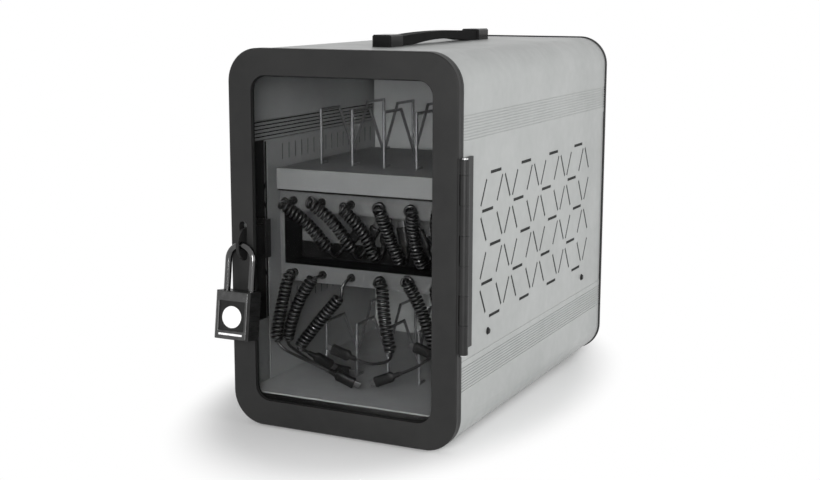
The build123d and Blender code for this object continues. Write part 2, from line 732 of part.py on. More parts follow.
def handle_cap(front):
    """A screwed-down end cap with bevelled edges, which holds one end of the strap."""
    outer = HANDLE_FRONT if front else HANDLE_FRONT + HANDLE_LENGTH - HANDLE_CAP_LENGTH
    cap = block(
        (-HANDLE_CAP_WIDTH / 2, HANDLE_CAP_WIDTH / 2),
        (outer, outer + HANDLE_CAP_LENGTH),
        (HEIGHT, HEIGHT + HANDLE_CAP_HEIGHT),
    )
    edges = cap.edges().filter_by(Axis.Z) + cap.faces().sort_by(Axis.Z)[-1].edges()
    return chamfer(edges, HANDLE_CAP_BEVEL) - handle_strap()


def feet():
    """Four rubber feet under the lower shell."""
    made = []
    for x in (-(half_width - FOOT_INSET), half_width - FOOT_INSET):
        for y in (shell_front + FOOT_INSET, shell_back - FOOT_INSET):
            foot = Cone(FOOT_RADIUS - 1.5, FOOT_RADIUS, FOOT_HEIGHT, align=HANG)
            made.append(Pos(x, y, 0) * foot)
    return made


def power_supply():
    """The mains power supply on the floor behind the partition."""
    x, y, z = SUPPLY_SIZE
    front = PARTITION + LINER_SHEET + SUPPLY_GAP
    return block((-x / 2, x / 2), (front, front + y), (FLOOR_TOP, FLOOR_TOP + z))


def charger_module():
    """The charging electronics inside the bank."""
    x, y, z = CHARGER_SIZE
    front = BANK_FRONT + TROUGH_DEPTH + SHEET + CHARGER_GAP
    low = bank_bottom + SHEET
    return block((-x / 2, x / 2), (front, front + y), (low, low + z))


def mains_inlet():
    """A three-pin mains inlet, flanged on the rear panel."""
    panel = shell_back
    flange = Pos(INLET_X, INLET_HEIGHT) * RectangleRounded(40, 24, 4)
    body = slab(flange, panel, 2.0) + slab(inlet_outline(), panel - 18, 18)
    body -= slab(Pos(INLET_X, INLET_HEIGHT) * RectangleRounded(24, 16.5, 2), panel - 14, 17)
    for dx, dz in ((-7, -2), (7, -2), (0, 2)):
        pin = Pos(INLET_X + dx, INLET_HEIGHT + dz) * Rectangle(2, 4)
        body += slab(pin, panel - 15, 13)
    return body


def switch_frame():
    """The frame of the rear power switch."""
    width = SWITCH_WIDTH / 2 + SWITCH_CLEARANCE
    height = SWITCH_RADIUS + SWITCH_CLEARANCE
    opening = Pos(SWITCH_X, INLET_HEIGHT) * Rectangle(2 * width, 2 * height)
    bezel = Pos(SWITCH_X, INLET_HEIGHT) * Rectangle(2 * width + 9, 2 * height + 9)
    frame = slab(switch_outline() - opening, shell_back - 9, 9) + slab(bezel - opening, shell_back, 1.5)
    hole = Cylinder(1.5 + PIN_CLEARANCE, 2 * width + 2 * SWITCH_FRAME)
    return frame - Location((SWITCH_X, switch_pivot(), INLET_HEIGHT), (0, 90, 0)) * hole


def switch_pivot():
    """The Y of the rocker's axis."""
    return shell_back - 3.5


def power_switch():
    """The rocker, whose ends are round about its pivot."""
    y = switch_pivot()
    outline = Pos(y, INLET_HEIGHT) * Circle(SWITCH_RADIUS)
    dish = polygon([
        (y - 2, INLET_HEIGHT - SWITCH_RADIUS - 1),
        (y + 6, INLET_HEIGHT - SWITCH_RADIUS - 1),
        (y + 4.5, INLET_HEIGHT),
        (y + 6, INLET_HEIGHT + SWITCH_RADIUS + 1),
        (y - 2, INLET_HEIGHT + SWITCH_RADIUS + 1),
    ])
    rocker = across(outline & dish, SWITCH_X - SWITCH_WIDTH / 2, SWITCH_X + SWITCH_WIDTH / 2)
    trunnion = Cylinder(1.5, SWITCH_WIDTH + 2 * SWITCH_CLEARANCE + SWITCH_FRAME)
    return rocker + Location((SWITCH_X, y, INLET_HEIGHT), (0, 90, 0)) * trunnion


class Route(NamedTuple):
    """A cord's way: the hand of its winding, where its coil's axis ends, the direction in
    which it leaves the coil, the points of its tail up to the plug, and the plug's way."""

    hand: int
    coil_end: tuple
    leave: tuple
    tail: list
    plug_way: tuple


UPPER_ROUTES = [
    Route(1, (-54.7, 85.0, 213.5), (-1, 0, 0), [(-52.7, 104.0, 216.5)], (0.70, 0.0, 0.714)),
    Route(1, (-22.0, 85.0, 213.5), (-1, 0, 0), [(-20.0, 104.0, 216.5)], (0.45, 0.0, 0.893)),
    Route(1, (4.8, 82.0, 215.0), (-1, 0, 0), [(6.8, 104.0, 219.0)], (0.2, 0.0, 0.98)),
    Route(-1, (43.3, 82.0, 213.5), (1, 0, 0), [(41.3, 104.0, 216.5)], (-0.2, 0.0, 0.98)),
    Route(-1, (76.0, 80.0, 213.5), (1, 0, 0), [(74.0, 104.0, 216.5)], (-0.45, 0.0, 0.893)),
    Route(-1, (100.0, 80.0, 213.5), (1, 0, 0), [(98.0, 104.0, 216.5)], (-0.6, 0.0, 0.8)),
]
LOWER_ROUTES = [
    Route(
        1,
        (-127.7, 54.0, 96.6),
        (1, 0, -1),
        [(-117.0, 61.0, 83.0), (-97.0, 57.0, 76.0), (-69.5, 56.0, 68.8), (-49.4, 60.0, 58.5)],
        (0.875, 0.18, -0.448),
    ),
    Route(
        1,
        (-125.9, 72.0, 88.4),
        (0, 1, -1),
        [(-122.0, 92.0, 77.0), (-115.0, 109.0, 64.0), (-101.0, 119.0, 52.4), (-84.0, 121.0, 48.8)],
        (0.98, 0.12, -0.17),
    ),
    Route(1, (-96.0, 54.0, 90.0), (1, 0, -1), [(-84.0, 68.0, 83.0)], (0.816, 0.13, -0.565)),
    Route(
        -1,
        (40.0, 60.0, 98.0),
        (-1, 0, -1),
        [(24.0, 69.0, 87.0), (3.3, 70.0, 75.7), (-14.0, 70.0, 80.6)],
        (-0.963, 0.0, 0.27),
    ),
    Route(
        -1,
        (104.0, 60.0, 106.0),
        (-1, 0, -1),
        [(90.0, 70.0, 97.0), (70.1, 68.3, 79.3), (50.0, 67.0, 70.5)],
        (-0.914, -0.06, -0.4),
    ),
    Route(-1, (114.0, 84.0, 104.0), (-1, 0, -1), [(92.0, 96.0, 90.0)], (-0.966, 0.0, 0.258)),
]


def biarc(start, way_out, end, way_in):
    """Two arcs that leave start along way_out and reach end along way_in, without a kink."""
    gap = end - start
    a = 2 * (1 - way_out.dot(way_in))
    b = 2 * gap.dot(way_out + way_in)
    reach = (math.sqrt(b * b + 4 * a * gap.dot(gap)) - b) / (2 * a)
    first = start + way_out * reach
    last = end - way_in * reach
    middle = (first + last) * 0.5
    way = (last - first).normalized()
    return [Edge.make_tangent_arc(start, way_out, middle), Edge.make_tangent_arc(middle, way, end)]


def coil_frame(start, end, hand, lead):
    """A coil's axis, and the ways outward and along the wire where its first curl starts."""
    axis = (end - start).normalized()
    along = (lead - axis * lead.dot(axis)).normalized()
    return axis, along.cross(axis) * hand, along


def coil_stations(entry, end, hand, lead, leave):
    """Points and directions on a coil's helix, half a turn apart. Its first curl starts at
    entry along lead, and it runs on by up to three quarters of a turn to end along leave."""
    start = entry
    for _ in range(6):
        axis, out, along = coil_frame(start, end, hand, lead)
        start = entry - out * COIL_RADIUS
    length = (end - start).length

    def station(turn, turns):
        angle = 2 * math.pi * turn
        climb = length / (2 * math.pi * COIL_RADIUS * turns)
        rim = out * math.cos(angle) + along * math.sin(angle)
        way = along * math.cos(angle) - out * math.sin(angle) + axis * climb
        return start + axis * (length * turn / turns) + rim * COIL_RADIUS, way.normalized()

    choices = [CURLS + quarter / 4 for quarter in range(4)]
    turns = max(choices, key=lambda n: station(n, n)[1].dot(leave))
    steps = [k / 2 for k in range(int(2 * turns) + 1)]
    if steps[-1] < turns:
        steps.append(turns)
    return [station(turn, turns) for turn in steps]


def tail_path(route):
    """The uncoiled end of a cord: straight runs joined by arcs, straight into the plug."""
    points = [Vector(p) for p in route.tail]
    if len(points) == 1:
        way = Vector(route.plug_way).normalized()
        return [Edge.make_line(points[0] - way * 2 * CORD_RADIUS, points[0])], way, []
    radii = []
    for p, q, r in zip(points, points[1:], points[2:]):
        turn = math.radians((q - p).get_angle(r - q))
        radii.append(0.45 * min((q - p).length, (r - q).length) / math.tan(turn / 2))
    path = FilletPolyline(*points, radius=radii)
    return path.edges(), (points[1] - points[0]).normalized(), radii


def cord(exit_x, exit_z, route):
    """One curly cord as a single tube: its exit, its coil and its tail to the plug."""
    lead = Vector(0, -1, 0)
    start = Vector(exit_x, grommet_face, exit_z)
    bend = start + lead * (2 * CORD_RADIUS)
    tail_edges, tail_way, radii = tail_path(route)
    coil = coil_stations(
        start + lead * EXIT_LEAD, Vector(route.coil_end), route.hand, lead, Vector(route.leave)
    )
    stations = [(bend, lead)] + coil + [(tail_edges[0] @ 0, tail_way)]
    edges = [Edge.make_line(start, bend)]
    for (p, way_out), (q, way_in) in zip(stations, stations[1:]):
        edges += biarc(p, way_out, q, way_in)
    edges += tail_edges
    path = Wire(edges)
    section = Plane(origin=start, z_dir=lead) * RegularPolygon(CORD_RADIUS, CORD_SIDES)
    return sweep(section, path=path, clean=False), path, section.area, radii


def least_gap(path):
    """The least gap between a cord and itself, measured between points along its path."""
    count = int(path.length / 1.5)
    points = [path @ (k / count) for k in range(count + 1)]
    skip = int(math.pi * COIL_RADIUS / 1.5)
    least = min(
        (points[i] - points[j]).length
        for i in range(len(points))
        for j in range(i + skip, len(points))
    )
    return least - 2 * CORD_RADIUS


def plug(route, flat):
    """A cord's plug: a tapered relief, a flat overmould and a metal tip. It lies on its
    broad side, or stands on its edge in a row's trough."""
    way = Vector(route.plug_way).normalized()
    if len(route.tail) > 1:
        way = (Vector(route.tail[-1]) - Vector(route.tail[-2])).normalized()
    across_way = Vector(0, 0, 1).cross(way) if flat else Vector(0, 1, 0).cross(way)
    plane = Plane(origin=route.tail[-1], x_dir=across_way, z_dir=way)
    relief = Cone(CORD_RADIUS + 0.6, PLUG_THICKNESS / 2 - 0.3, PLUG_RELIEF, align=STAND)
    mould = extrude(RectangleRounded(PLUG_WIDTH, PLUG_THICKNESS, 2.5), amount=PLUG_LENGTH)
    tip = Box(*PLUG_TIP, align=STAND)
    return plane * (relief + Pos(0, 0, PLUG_RELIEF) * mould + Pos(0, 0, PLUG_RELIEF + PLUG_LENGTH) * tip)


nodes = {
    "top_shell": shell(True),
    "bottom_shell": shell(False),
    "left_side_panel": side_panel(-1),
    "right_side_panel": side_panel(1),
    "side_screws": side_screws(),
    "front_trim": front_trim(),
    "rear_trim": rear_trim(),
    "rear_panel": rear_panel(),
    "feet": feet(),
    "left_liner": liner(-1),
    "right_liner": liner(1),
    "floor_tray": floor_tray(),
    "back_partition": back_partition(),
    "shelf_tray": shelf_tray(),
    "bank_housing": bank_housing(),
    "upper_grommets": grommets(upper_exit_z),
    "lower_grommets": grommets(lower_exit_z),
    "charger_module": charger_module(),
    "power_supply": power_supply(),
    "mains_inlet": mains_inlet(),
    "switch_frame": switch_frame(),
    "power_switch": power_switch(),
    "door_frame": door_frame(),
    "pane_gasket": pane_gasket(),
    "window_pane": window_pane(),
    "hinge_door_leaf": hinge_door_leaf(),
    "hinge_body_leaf": hinge_body_leaf(),
    "hinge_pin": hinge_pin(),
    "latch_slide": latch_slide(),
    "keeper": keeper(),
    "lock_rail": lock_rail(),
    "padlock_shackle": padlock_shackle(),
    "padlock_body": padlock_body(),
    "handle_strap": handle_strap(),
    "handle_front_cap": handle_cap(True),
    "handle_rear_cap": handle_cap(False),
}
for k in range(DIVIDER_COUNT):
    x = DIVIDER_PITCH * (k - (DIVIDER_COUNT - 1) / 2)
    nodes[f"upper_divider_{k + 1}"] = divider(x, UPPER_POST, shelf_top)
    nodes[f"lower_divider_{k + 1}"] = divider(x, LOWER_POST, FLOOR_TOP)
for tier, exit_z, routes in (("upper", upper_exit_z, UPPER_ROUTES), ("lower", lower_exit_z, LOWER_ROUTES)):
    plugs = []
    for k, (exit_x, route) in enumerate(zip(exit_places(), routes)):
        name = f"{tier}_cord_{k + 1}"
        tube, path, area, radii = cord(exit_x, exit_z, route)
        bends = [round(r, 1) for r in radii]
        arcs = [e.radius for e in path.edges() if e.geom_type == GeomType.CIRCLE]
        fill = tube.volume / (area * path.length)
        print(f"{name}: {path.length:.0f} long, bends {bends}, least radius {min(arcs):.1f},"
              f" least gap {least_gap(path):.2f}, volume over section times length {fill:.4f}")
        nodes[name] = tube
        plugs.append(plug(route, tier == "lower"))
    nodes[f"{tier}_plugs"] = plugs

os.makedirs("parts", exist_ok=True)
for name, shape in nodes.items():
    solids = shape if isinstance(shape, list) else list(shape.solids())
    placed = [PLACE * solid for solid in solids]
    piece = placed[0] if len(placed) == 1 else Compound(children=placed)
    export_step(piece, f"parts/{name}.step")
print(len(nodes), "nodes")
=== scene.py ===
# %% [markdown]
# # A charging cabinet, dressed
#
# The cabinet is a box of extruded aluminium with a smoked window in its door. Its exact solids
# come from CAD and are loaded here as a fixed frame. This script adds what CAD is poor at:
# curly cords, moulded plugs, paint, smoke-grey glass and studio light. Lengths are in metres,
# apart from places on the cabinet, which are in millimetres.

import math

import bmesh
import bpy
import numpy as np
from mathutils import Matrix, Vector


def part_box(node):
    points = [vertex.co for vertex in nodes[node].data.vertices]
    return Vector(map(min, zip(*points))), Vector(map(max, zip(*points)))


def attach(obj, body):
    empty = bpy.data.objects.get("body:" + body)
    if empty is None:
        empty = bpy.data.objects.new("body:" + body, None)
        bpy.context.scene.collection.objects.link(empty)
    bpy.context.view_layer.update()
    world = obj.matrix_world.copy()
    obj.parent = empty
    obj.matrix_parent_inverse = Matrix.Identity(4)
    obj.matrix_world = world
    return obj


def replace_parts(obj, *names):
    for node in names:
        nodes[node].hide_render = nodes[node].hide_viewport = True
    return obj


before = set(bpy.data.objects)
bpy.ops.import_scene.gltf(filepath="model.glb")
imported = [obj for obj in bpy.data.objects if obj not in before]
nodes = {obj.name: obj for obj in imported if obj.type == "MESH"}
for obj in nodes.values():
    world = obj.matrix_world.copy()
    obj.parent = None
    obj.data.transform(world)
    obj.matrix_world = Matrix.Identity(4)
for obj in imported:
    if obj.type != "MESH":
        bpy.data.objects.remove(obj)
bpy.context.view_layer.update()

# %% [markdown]
# ## One scale for every point
#
# The CAD source counts millimetres from the door's front face, from the middle of the cabinet
# and from its underside. The frame counts metres from the middle of the whole object,
# with the feet on the floor. One function turns the first into the second, so that a route
# can be written here with the same numbers as in the CAD source.

# %% Cabinet millimetres to frame metres
FOOT_HEIGHT = 4.0
door_low, door_high = (1000 * np.array(corner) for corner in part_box("door_frame"))
CABINET_ZERO = np.array([(door_low[0] + door_high[0]) / 2, door_low[1], FOOT_HEIGHT])
print("cabinet's zero, mm:", np.round(CABINET_ZERO, 3).tolist())


def metres(points):
    """Each point is moved by the cabinet's zero and divided by 1000."""
    return (np.asarray(points, float) + CABINET_ZERO) / 1000


# %% [markdown]
# ## The camera
#
# The camera's place was worked out from the cabinet's long straight edges: it stands to the
# right of the door, a little above the lid, and looks slightly down. The lens is long, which
# is why the far edges hardly get smaller.

# %% Camera
PICTURE = (820, 480)
PICTURE_MIDDLE = (393.14, 242.65)
FOCAL_PIXELS = 1380.67
SENSOR_WIDTH = 36
YAW, PITCH = math.radians(26.247), math.radians(10.478)
CAMERA_PLACE = (793.61, -1461.49, 554.55)
FARTHEST_SEEN = 30

lens = bpy.data.cameras.new("studio_camera")
camera = bpy.data.objects.new("studio_camera", lens)
bpy.context.scene.collection.objects.link(camera)
camera.location = metres(CAMERA_PLACE)
camera.rotation_euler = (math.pi / 2 - PITCH, 0, YAW)
lens.sensor_width = SENSOR_WIDTH
lens.lens = SENSOR_WIDTH * FOCAL_PIXELS / PICTURE[0]
lens.shift_x = (PICTURE[0] / 2 - PICTURE_MIDDLE[0]) / PICTURE[0]
lens.shift_y = (PICTURE_MIDDLE[1] - PICTURE[1] / 2) / PICTURE[0]
lens.clip_end = FARTHEST_SEEN
bpy.context.scene.camera = camera
print("lens", round(lens.lens, 1), "mm")

# %% [markdown]
# ## Surfaces from arrays
#
# Nearly every new piece is a grid of points: one parameter runs round a section, the other
# along a path. Such a grid needs the same few steps each time, so they are written once:
# number the quads, close the ends, fill a mesh and hang it on the CAD body that it moves with.

# %% Grid helpers


def grid_faces(rows, columns):
    """Quads of a rows by columns grid. Row r, column c meets row r+1 and column c+1, and the
    last column meets the first."""
    r = np.arange(rows - 1)[:, None]
    c = np.arange(columns)[None, :]
    after = (c + 1) % columns
    quads = np.stack(
        [r * columns + c, r * columns + after, (r + 1) * columns + after, (r + 1) * columns + c],
        axis=-1,
    )
    return quads.reshape(-1, 4).tolist()


def closed_tube(points):
    """A grid of shape (rows, columns, 3) as vertices and faces, with a flat cap at each end."""
    rows, columns, _ = points.shape
    faces = grid_faces(rows, columns)
    first = list(range(columns))[::-1]
    last = [(rows - 1) * columns + c for c in range(columns)]
    return points.reshape(-1, 3), faces + [first, last]


def joined(parts):
    """Many (vertices, faces) pairs as one."""
    vertices, faces, first = [], [], 0
    for points, around in parts:
        vertices.append(points)
        faces += [[v + first for v in face] for face in around]
        first += len(points)
    return np.vstack(vertices), faces


def make_piece(name, vertices, faces, body, material, smooth=True):
    """A mesh object at the origin, its place in its vertices, riding on a CAD body. Its faces
    are all turned outwards."""
    mesh = bpy.data.meshes.new(name)
    mesh.from_pydata(np.asarray(vertices).tolist(), [], faces)
    form = bmesh.new()
    form.from_mesh(mesh)
    bmesh.ops.recalc_face_normals(form, faces=form.faces)
    form.to_mesh(mesh)
    form.free()
    mesh.shade_smooth() if smooth else mesh.shade_flat()
    mesh.materials.append(material)
    piece = bpy.data.objects.new(name, mesh)
    bpy.context.scene.collection.objects.link(piece)
    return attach(piece, body)


# %% [markdown]
# ## Where each cord runs
#
# A curly cord leaves its grommet straight, winds round a slack axis, and ends in a short
# uncoiled tail with a moulded plug. The route below is only that slack axis and tail: a few
# control points of a smooth spline. The windings come in the next step.

# %% Cord routes
EXITS = (-105.0, -63.0, -21.0, 21.0, 63.0, 105.0)
GROMMET_FACE = 68.0
EXIT_HEIGHT = {"upper": 283.0, "lower": 188.0}

ROUTES = {
    "upper": [
        [(-107, 57, 283.5), (-111, 48.5, 282), (-104, 51, 276), (-86, 62, 260), (-67, 72, 235.5),
         (-53.5, 84, 208.8), (-58.3, 104, 210.8), (-52.7, 104, 216.5)],
        [(-66, 57, 285), (-71, 48.5, 286.5), (-63, 50, 281), (-47, 61, 264.5), (-30, 71, 238.5),
         (-20.5, 84, 208.8), (-23.6, 104, 209.4), (-20, 104, 216.5)],
        [(-22.5, 58, 282), (-25, 51, 281.5), (-20, 52.5, 276), (-8, 65, 256), (1, 72, 240),
         (7.5, 80, 208.8), (5.2, 104, 211.2), (6.8, 104, 219)],
        [(23.5, 58, 283), (27.5, 53, 281.5), (29, 57, 273), (35, 71, 238), (46.5, 78, 208.8),
         (42.9, 104, 208.7), (41.3, 104, 216.5)],
        [(67, 58, 283), (72.5, 54, 281.5), (70, 59, 269), (69.5, 67, 239), (76, 75, 208.8),
         (77.6, 104, 209.4), (74, 104, 216.5)],
        [(105, 57, 283), (107, 52, 280), (104, 56, 268), (101, 78, 208.8), (102.8, 104, 210.1),
         (98, 104, 216.5)],
    ],
    "lower": [
        [(-105, 60, 188), (-107, 55, 182), (-113, 56, 161), (-119, 55, 135), (-126, 54, 100),
         (-119, 57, 87), (-97, 57, 79), (-69.5, 57, 71), (-49.4, 60, 63)],
        [(-65, 58, 187), (-71, 55, 184), (-88, 60, 163), (-103, 64, 136), (-116, 70, 103),
         (-121, 75, 88), (-117, 88, 77), (-112, 102, 66), (-101, 113, 54), (-84, 112.5, 52.5)],
        [(-22, 58, 187), (-28, 54, 176), (-25, 53, 167), (-31, 53, 163), (-52, 53, 139),
         (-71, 53, 116), (-92, 53, 90), (-90, 61, 88), (-84, 67, 82.5)],
        [(23, 59, 188.5), (29, 56, 187), (30.5, 57, 172), (31, 58, 151), (35, 59, 120),
         (42.5, 60, 94), (33, 64, 85), (24, 68, 81), (3.3, 70, 75.7), (-14, 70, 80.6)],
        [(64, 58, 191), (66, 51, 195), (69, 54, 187), (75, 57, 176), (88, 59, 147),
         (104, 60, 106), (90, 70, 95), (70.1, 68.3, 79.3), (50, 67, 70.5)],
        [(105, 57, 188), (106, 51, 186), (107, 54, 176), (114, 84, 104), (99.7, 96, 87.9),
         (92, 96, 90)],
    ],
}


def route_points(tier, number):
    """Control points in metres, from the middle of the grommet's face to the plug."""
    face = (EXITS[number - 1], GROMMET_FACE, EXIT_HEIGHT[tier])
    return metres([face] + ROUTES[tier][number - 1])


# %% Smooth centreline
STEPS_PER_SPAN = 60


def centreline(points, name):
    """Points along a quadratic NURBS spline over the route's points. It starts and ends on the
    first and the last of them."""
    curve = bpy.data.curves.new(name, "CURVE")
    curve.dimensions = "3D"
    curve.resolution_u = STEPS_PER_SPAN
    spline = curve.splines.new("NURBS")
    spline.points.add(len(points) - 1)
    spline.points.foreach_set("co", np.c_[points, np.ones(len(points))].ravel())
    spline.order_u = 3
    spline.use_endpoint_u = True
    holder = bpy.data.objects.new(name, curve)
    bpy.context.scene.collection.objects.link(holder)
    mesh = bpy.data.meshes.new_from_object(holder)
    line = np.empty(len(mesh.vertices) * 3)
    mesh.vertices.foreach_get("co", line)
    bpy.data.objects.remove(holder)
    bpy.data.curves.remove(curve)
    bpy.data.meshes.remove(mesh)
    return line.reshape(-1, 3)


# %% [markdown]
# ## Winding a cord
#
# The wire's own line is a helix about the slack axis. Each point of it stands off the axis by
# the winding radius, turned by an angle that grows with the length along the axis. The radius
# swells from nothing over the first 0.7 of a turn and shrinks again over the last, which is
# how a real curl leaves its straight end. Sizes here are those of the cords that hang in the
# photograph: 4 mm of wire in windings 16.6 mm wide. Some cords are more stretched than
# others, so each has its own pitch, measured from its row of highlights.

# %% Helix and tube
WIRE_RADIUS = 0.0020
WINDING_RADIUS = 0.0063
SWELL_TURNS = 0.7
STEPS_PER_CURL = 28
LEAD_STEPS, TAIL_STEPS = 13, 39
TUBE_SIDES = 9
SLANT = np.array([0.6, 0.6, 0.5]) / math.sqrt(0.97)


def unit(vectors):
    """Vectors of length one along the last axis."""
    return vectors / np.linalg.norm(vectors, axis=-1, keepdims=True)


def length_along(line):
    """Length along a line of points, from 0 at the first point."""
    steps = np.linalg.norm(np.diff(line, axis=0), axis=1)
    return np.concatenate([[0.0], np.cumsum(steps)])


def ease(value):
    """3v^2 - 2v^3, from 0 to 1 without a kink at either end."""
    v = np.clip(value, 0, 1)
    return v * v * (3 - 2 * v)


def sections(line):
    """Two unit ways across a line at each point, square to it: slant x way, then way x that.
    The slant is one fixed way for all the cords."""
    way = unit(np.gradient(line, axis=0))
    side = unit(np.cross(np.broadcast_to(SLANT, way.shape), way))
    return side, np.cross(way, side)


def tube_along(line):
    """Point = line + wire radius (cos a side + sin a up), for angles a round the section."""
    side, up = sections(line)
    a = np.linspace(0, 2 * np.pi, TUBE_SIDES, endpoint=False)[None, :, None]
    ring = np.cos(a) * side[:, None] + np.sin(a) * up[:, None]
    return line[:, None] + WIRE_RADIUS * ring


def wind(axis_line, start, end, pitch, hand):
    """The wire's line. At length s along the axis it is
    axis(s) + R(s) (cos q side + sin q up), with q = hand 2 pi (s - start) / pitch, and R(s)
    rising from 0 to the winding radius after start and falling to 0 again before end. The
    pitch is rounded to fit a whole number of curls."""
    along = length_along(axis_line)
    curls = round((end - start) / pitch)
    lead = np.linspace(0, start, LEAD_STEPS + 1)[:-1]
    coil = np.linspace(start, end, curls * STEPS_PER_CURL + 1)
    tail = np.linspace(end, along[-1], TAIL_STEPS + 1)[1:]
    s = np.concatenate([lead, coil, tail])
    axis = np.stack([np.interp(s, along, axis_line[:, k]) for k in range(3)], axis=1)
    side, up = sections(axis)
    turn = hand * 2 * np.pi * curls * np.clip((s - start) / (end - start), 0, 1)
    swell_length = SWELL_TURNS * pitch
    swell = ease((s - start) / swell_length) * ease((end - s) / swell_length)
    rim = np.cos(turn)[:, None] * side + np.sin(turn)[:, None] * up
    return axis + (WINDING_RADIUS * swell)[:, None] * rim, curls


# %% [markdown]
# ## Plugs
#
# Each tail ends in a moulded plug: a ribbed relief that keeps the cord from kinking, a flat
# grip, and a thin metal tip. Relief and grip are one loft and the tip is another. A section
# is a rounded oblong (a superellipse) whose half width and half height change along the plug.

# %% Plug loft
PLUG_SIDES = 24
RELIEF, GRIP, TIP = 0.009, 0.028, 0.008
GRIP_HALF, TIP_HALF = (0.0072, 0.0048), (0.0042, 0.0013)
GRIP_POWER, TIP_POWER = 3.2, 5
RELIEF_STEPS, RELIEF_RIBS, RIB_DEPTH = 28, 5, 0.00032
CONE_START, CONE_GROWTH = 0.0026, 0.0007
SHOULDER, WAIST = 0.14, 0.07
GRIP_STATIONS = (0.02, 0.06, 0.14, 0.3, 0.45, 0.6, 0.8, 0.93, 0.98, 1.0, 1.0)
GRIP_CLOSE = (0.985, 0.93, 0.5)
TIP_ROOT = 0.004
TIP_STATIONS = (0.0, 0.5, 0.93, 1.0, 1.0, 0.9, 0.3)
TIP_SCALE = (1, 1, 1, 1, 0.95, 0.86, 0.84, 0.84)


def loft(half_width, half_height, power, z):
    """(x, y, z) of superellipses along z, with x = a |cos t|^(2/n) sign(cos t) and
    y = b |sin t|^(2/n) sign(sin t)."""
    t = np.linspace(0, 2 * np.pi, PLUG_SIDES, endpoint=False)
    c, s = np.cos(t), np.sin(t)
    x = half_width[:, None] * (np.sign(c) * np.abs(c) ** (2 / power))
    y = half_height[:, None] * (np.sign(s) * np.abs(s) ** (2 / power))
    return np.stack([x, y, np.broadcast_to(z[:, None], x.shape)], axis=-1)


def grip_sections():
    """A plug's ribbed relief and its grip, standing along z from the cord. The relief is a cone
    with ribs. The grip swells out of it, has a slight waist and closes in three steps."""
    relief_z = np.linspace(0, RELIEF, RELIEF_STEPS)
    z = np.concatenate([relief_z, RELIEF + GRIP * np.array(GRIP_STATIONS)])
    share = np.clip(z / RELIEF, 0, 1)
    wave = np.cos(2 * np.pi * RELIEF_RIBS * share)
    ribs = RIB_DEPTH * wave * (z < RELIEF) * np.sin(np.pi * share)
    cone = CONE_START + CONE_GROWTH * share + ribs
    grow = ease((z - RELIEF) / (SHOULDER * GRIP))
    waist = 1 - WAIST * np.sin(np.pi * np.clip((z - RELIEF) / GRIP, 0, 1)) ** 2
    close = np.ones_like(z)
    close[-len(GRIP_CLOSE):] = GRIP_CLOSE
    wide = (cone + (GRIP_HALF[0] - cone) * grow) * waist * close
    high = (cone + (GRIP_HALF[1] - cone) * grow) * close
    return loft(wide, high, GRIP_POWER, z)


def tip_sections():
    """The metal tip: a thin oblong sleeve that starts inside the grip."""
    z = RELIEF + GRIP + np.array([-TIP_ROOT] + [TIP * station for station in TIP_STATIONS])
    scale = np.array(TIP_SCALE)
    return loft(TIP_HALF[0] * scale, TIP_HALF[1] * scale, TIP_POWER, z)


# %% [markdown]
# ## Shared surface effects
#
# Painted sheet, moulded plastic and rubber all need two things: a fine grain that breaks up
# the gloss, and a slow change of tone over a hand's width, as handling and dust leave it.
# Each effect is a node group with its own inputs, used by many materials with other values.

# %% Node groups
FINER = 7.0


def new_group(name, inputs, outputs):
    """An empty shader group with named float inputs (name, default) and outputs (name, kind)."""
    group = bpy.data.node_groups.new(name, "ShaderNodeTree")
    for label, value in inputs:
        socket = group.interface.new_socket(label, in_out="INPUT", socket_type="NodeSocketFloat")
        socket.default_value = value
    for label, kind in outputs:
        group.interface.new_socket(label, in_out="OUTPUT", socket_type="NodeSocket" + kind)
    return group, group.nodes.new("NodeGroupInput"), group.nodes.new("NodeGroupOutput")


def object_noise(group, size, detail, roughness=0.5):
    """Noise on the piece's own coordinates, with scale = 1 / size."""
    place = group.nodes.new("ShaderNodeTexCoord")
    scale = group.nodes.new("ShaderNodeMath")
    scale.operation = "DIVIDE"
    scale.inputs[0].default_value = 1.0
    noise = group.nodes.new("ShaderNodeTexNoise")
    noise.inputs["Detail"].default_value = detail
    noise.inputs["Roughness"].default_value = roughness
    group.links.new(size, scale.inputs[1])
    group.links.new(scale.outputs[0], noise.inputs["Scale"])
    group.links.new(place.outputs["Object"], noise.inputs["Vector"])
    return noise.outputs["Fac"]


def grain_group():
    """Normal = a bump of fine noise, as deep as Depth."""
    group, given, made = new_group(
        "fine_grain", [("Size", 0.0012), ("Depth", 0.00002)], [("Normal", "Vector")]
    )
    bump = group.nodes.new("ShaderNodeBump")
    bump.inputs["Strength"].default_value = 1.0
    height = object_noise(group, given.outputs["Size"], detail=3.0, roughness=0.6)
    group.links.new(height, bump.inputs["Height"])
    group.links.new(given.outputs["Depth"], bump.inputs["Distance"])
    group.links.new(bump.outputs["Normal"], made.inputs["Normal"])
    return group


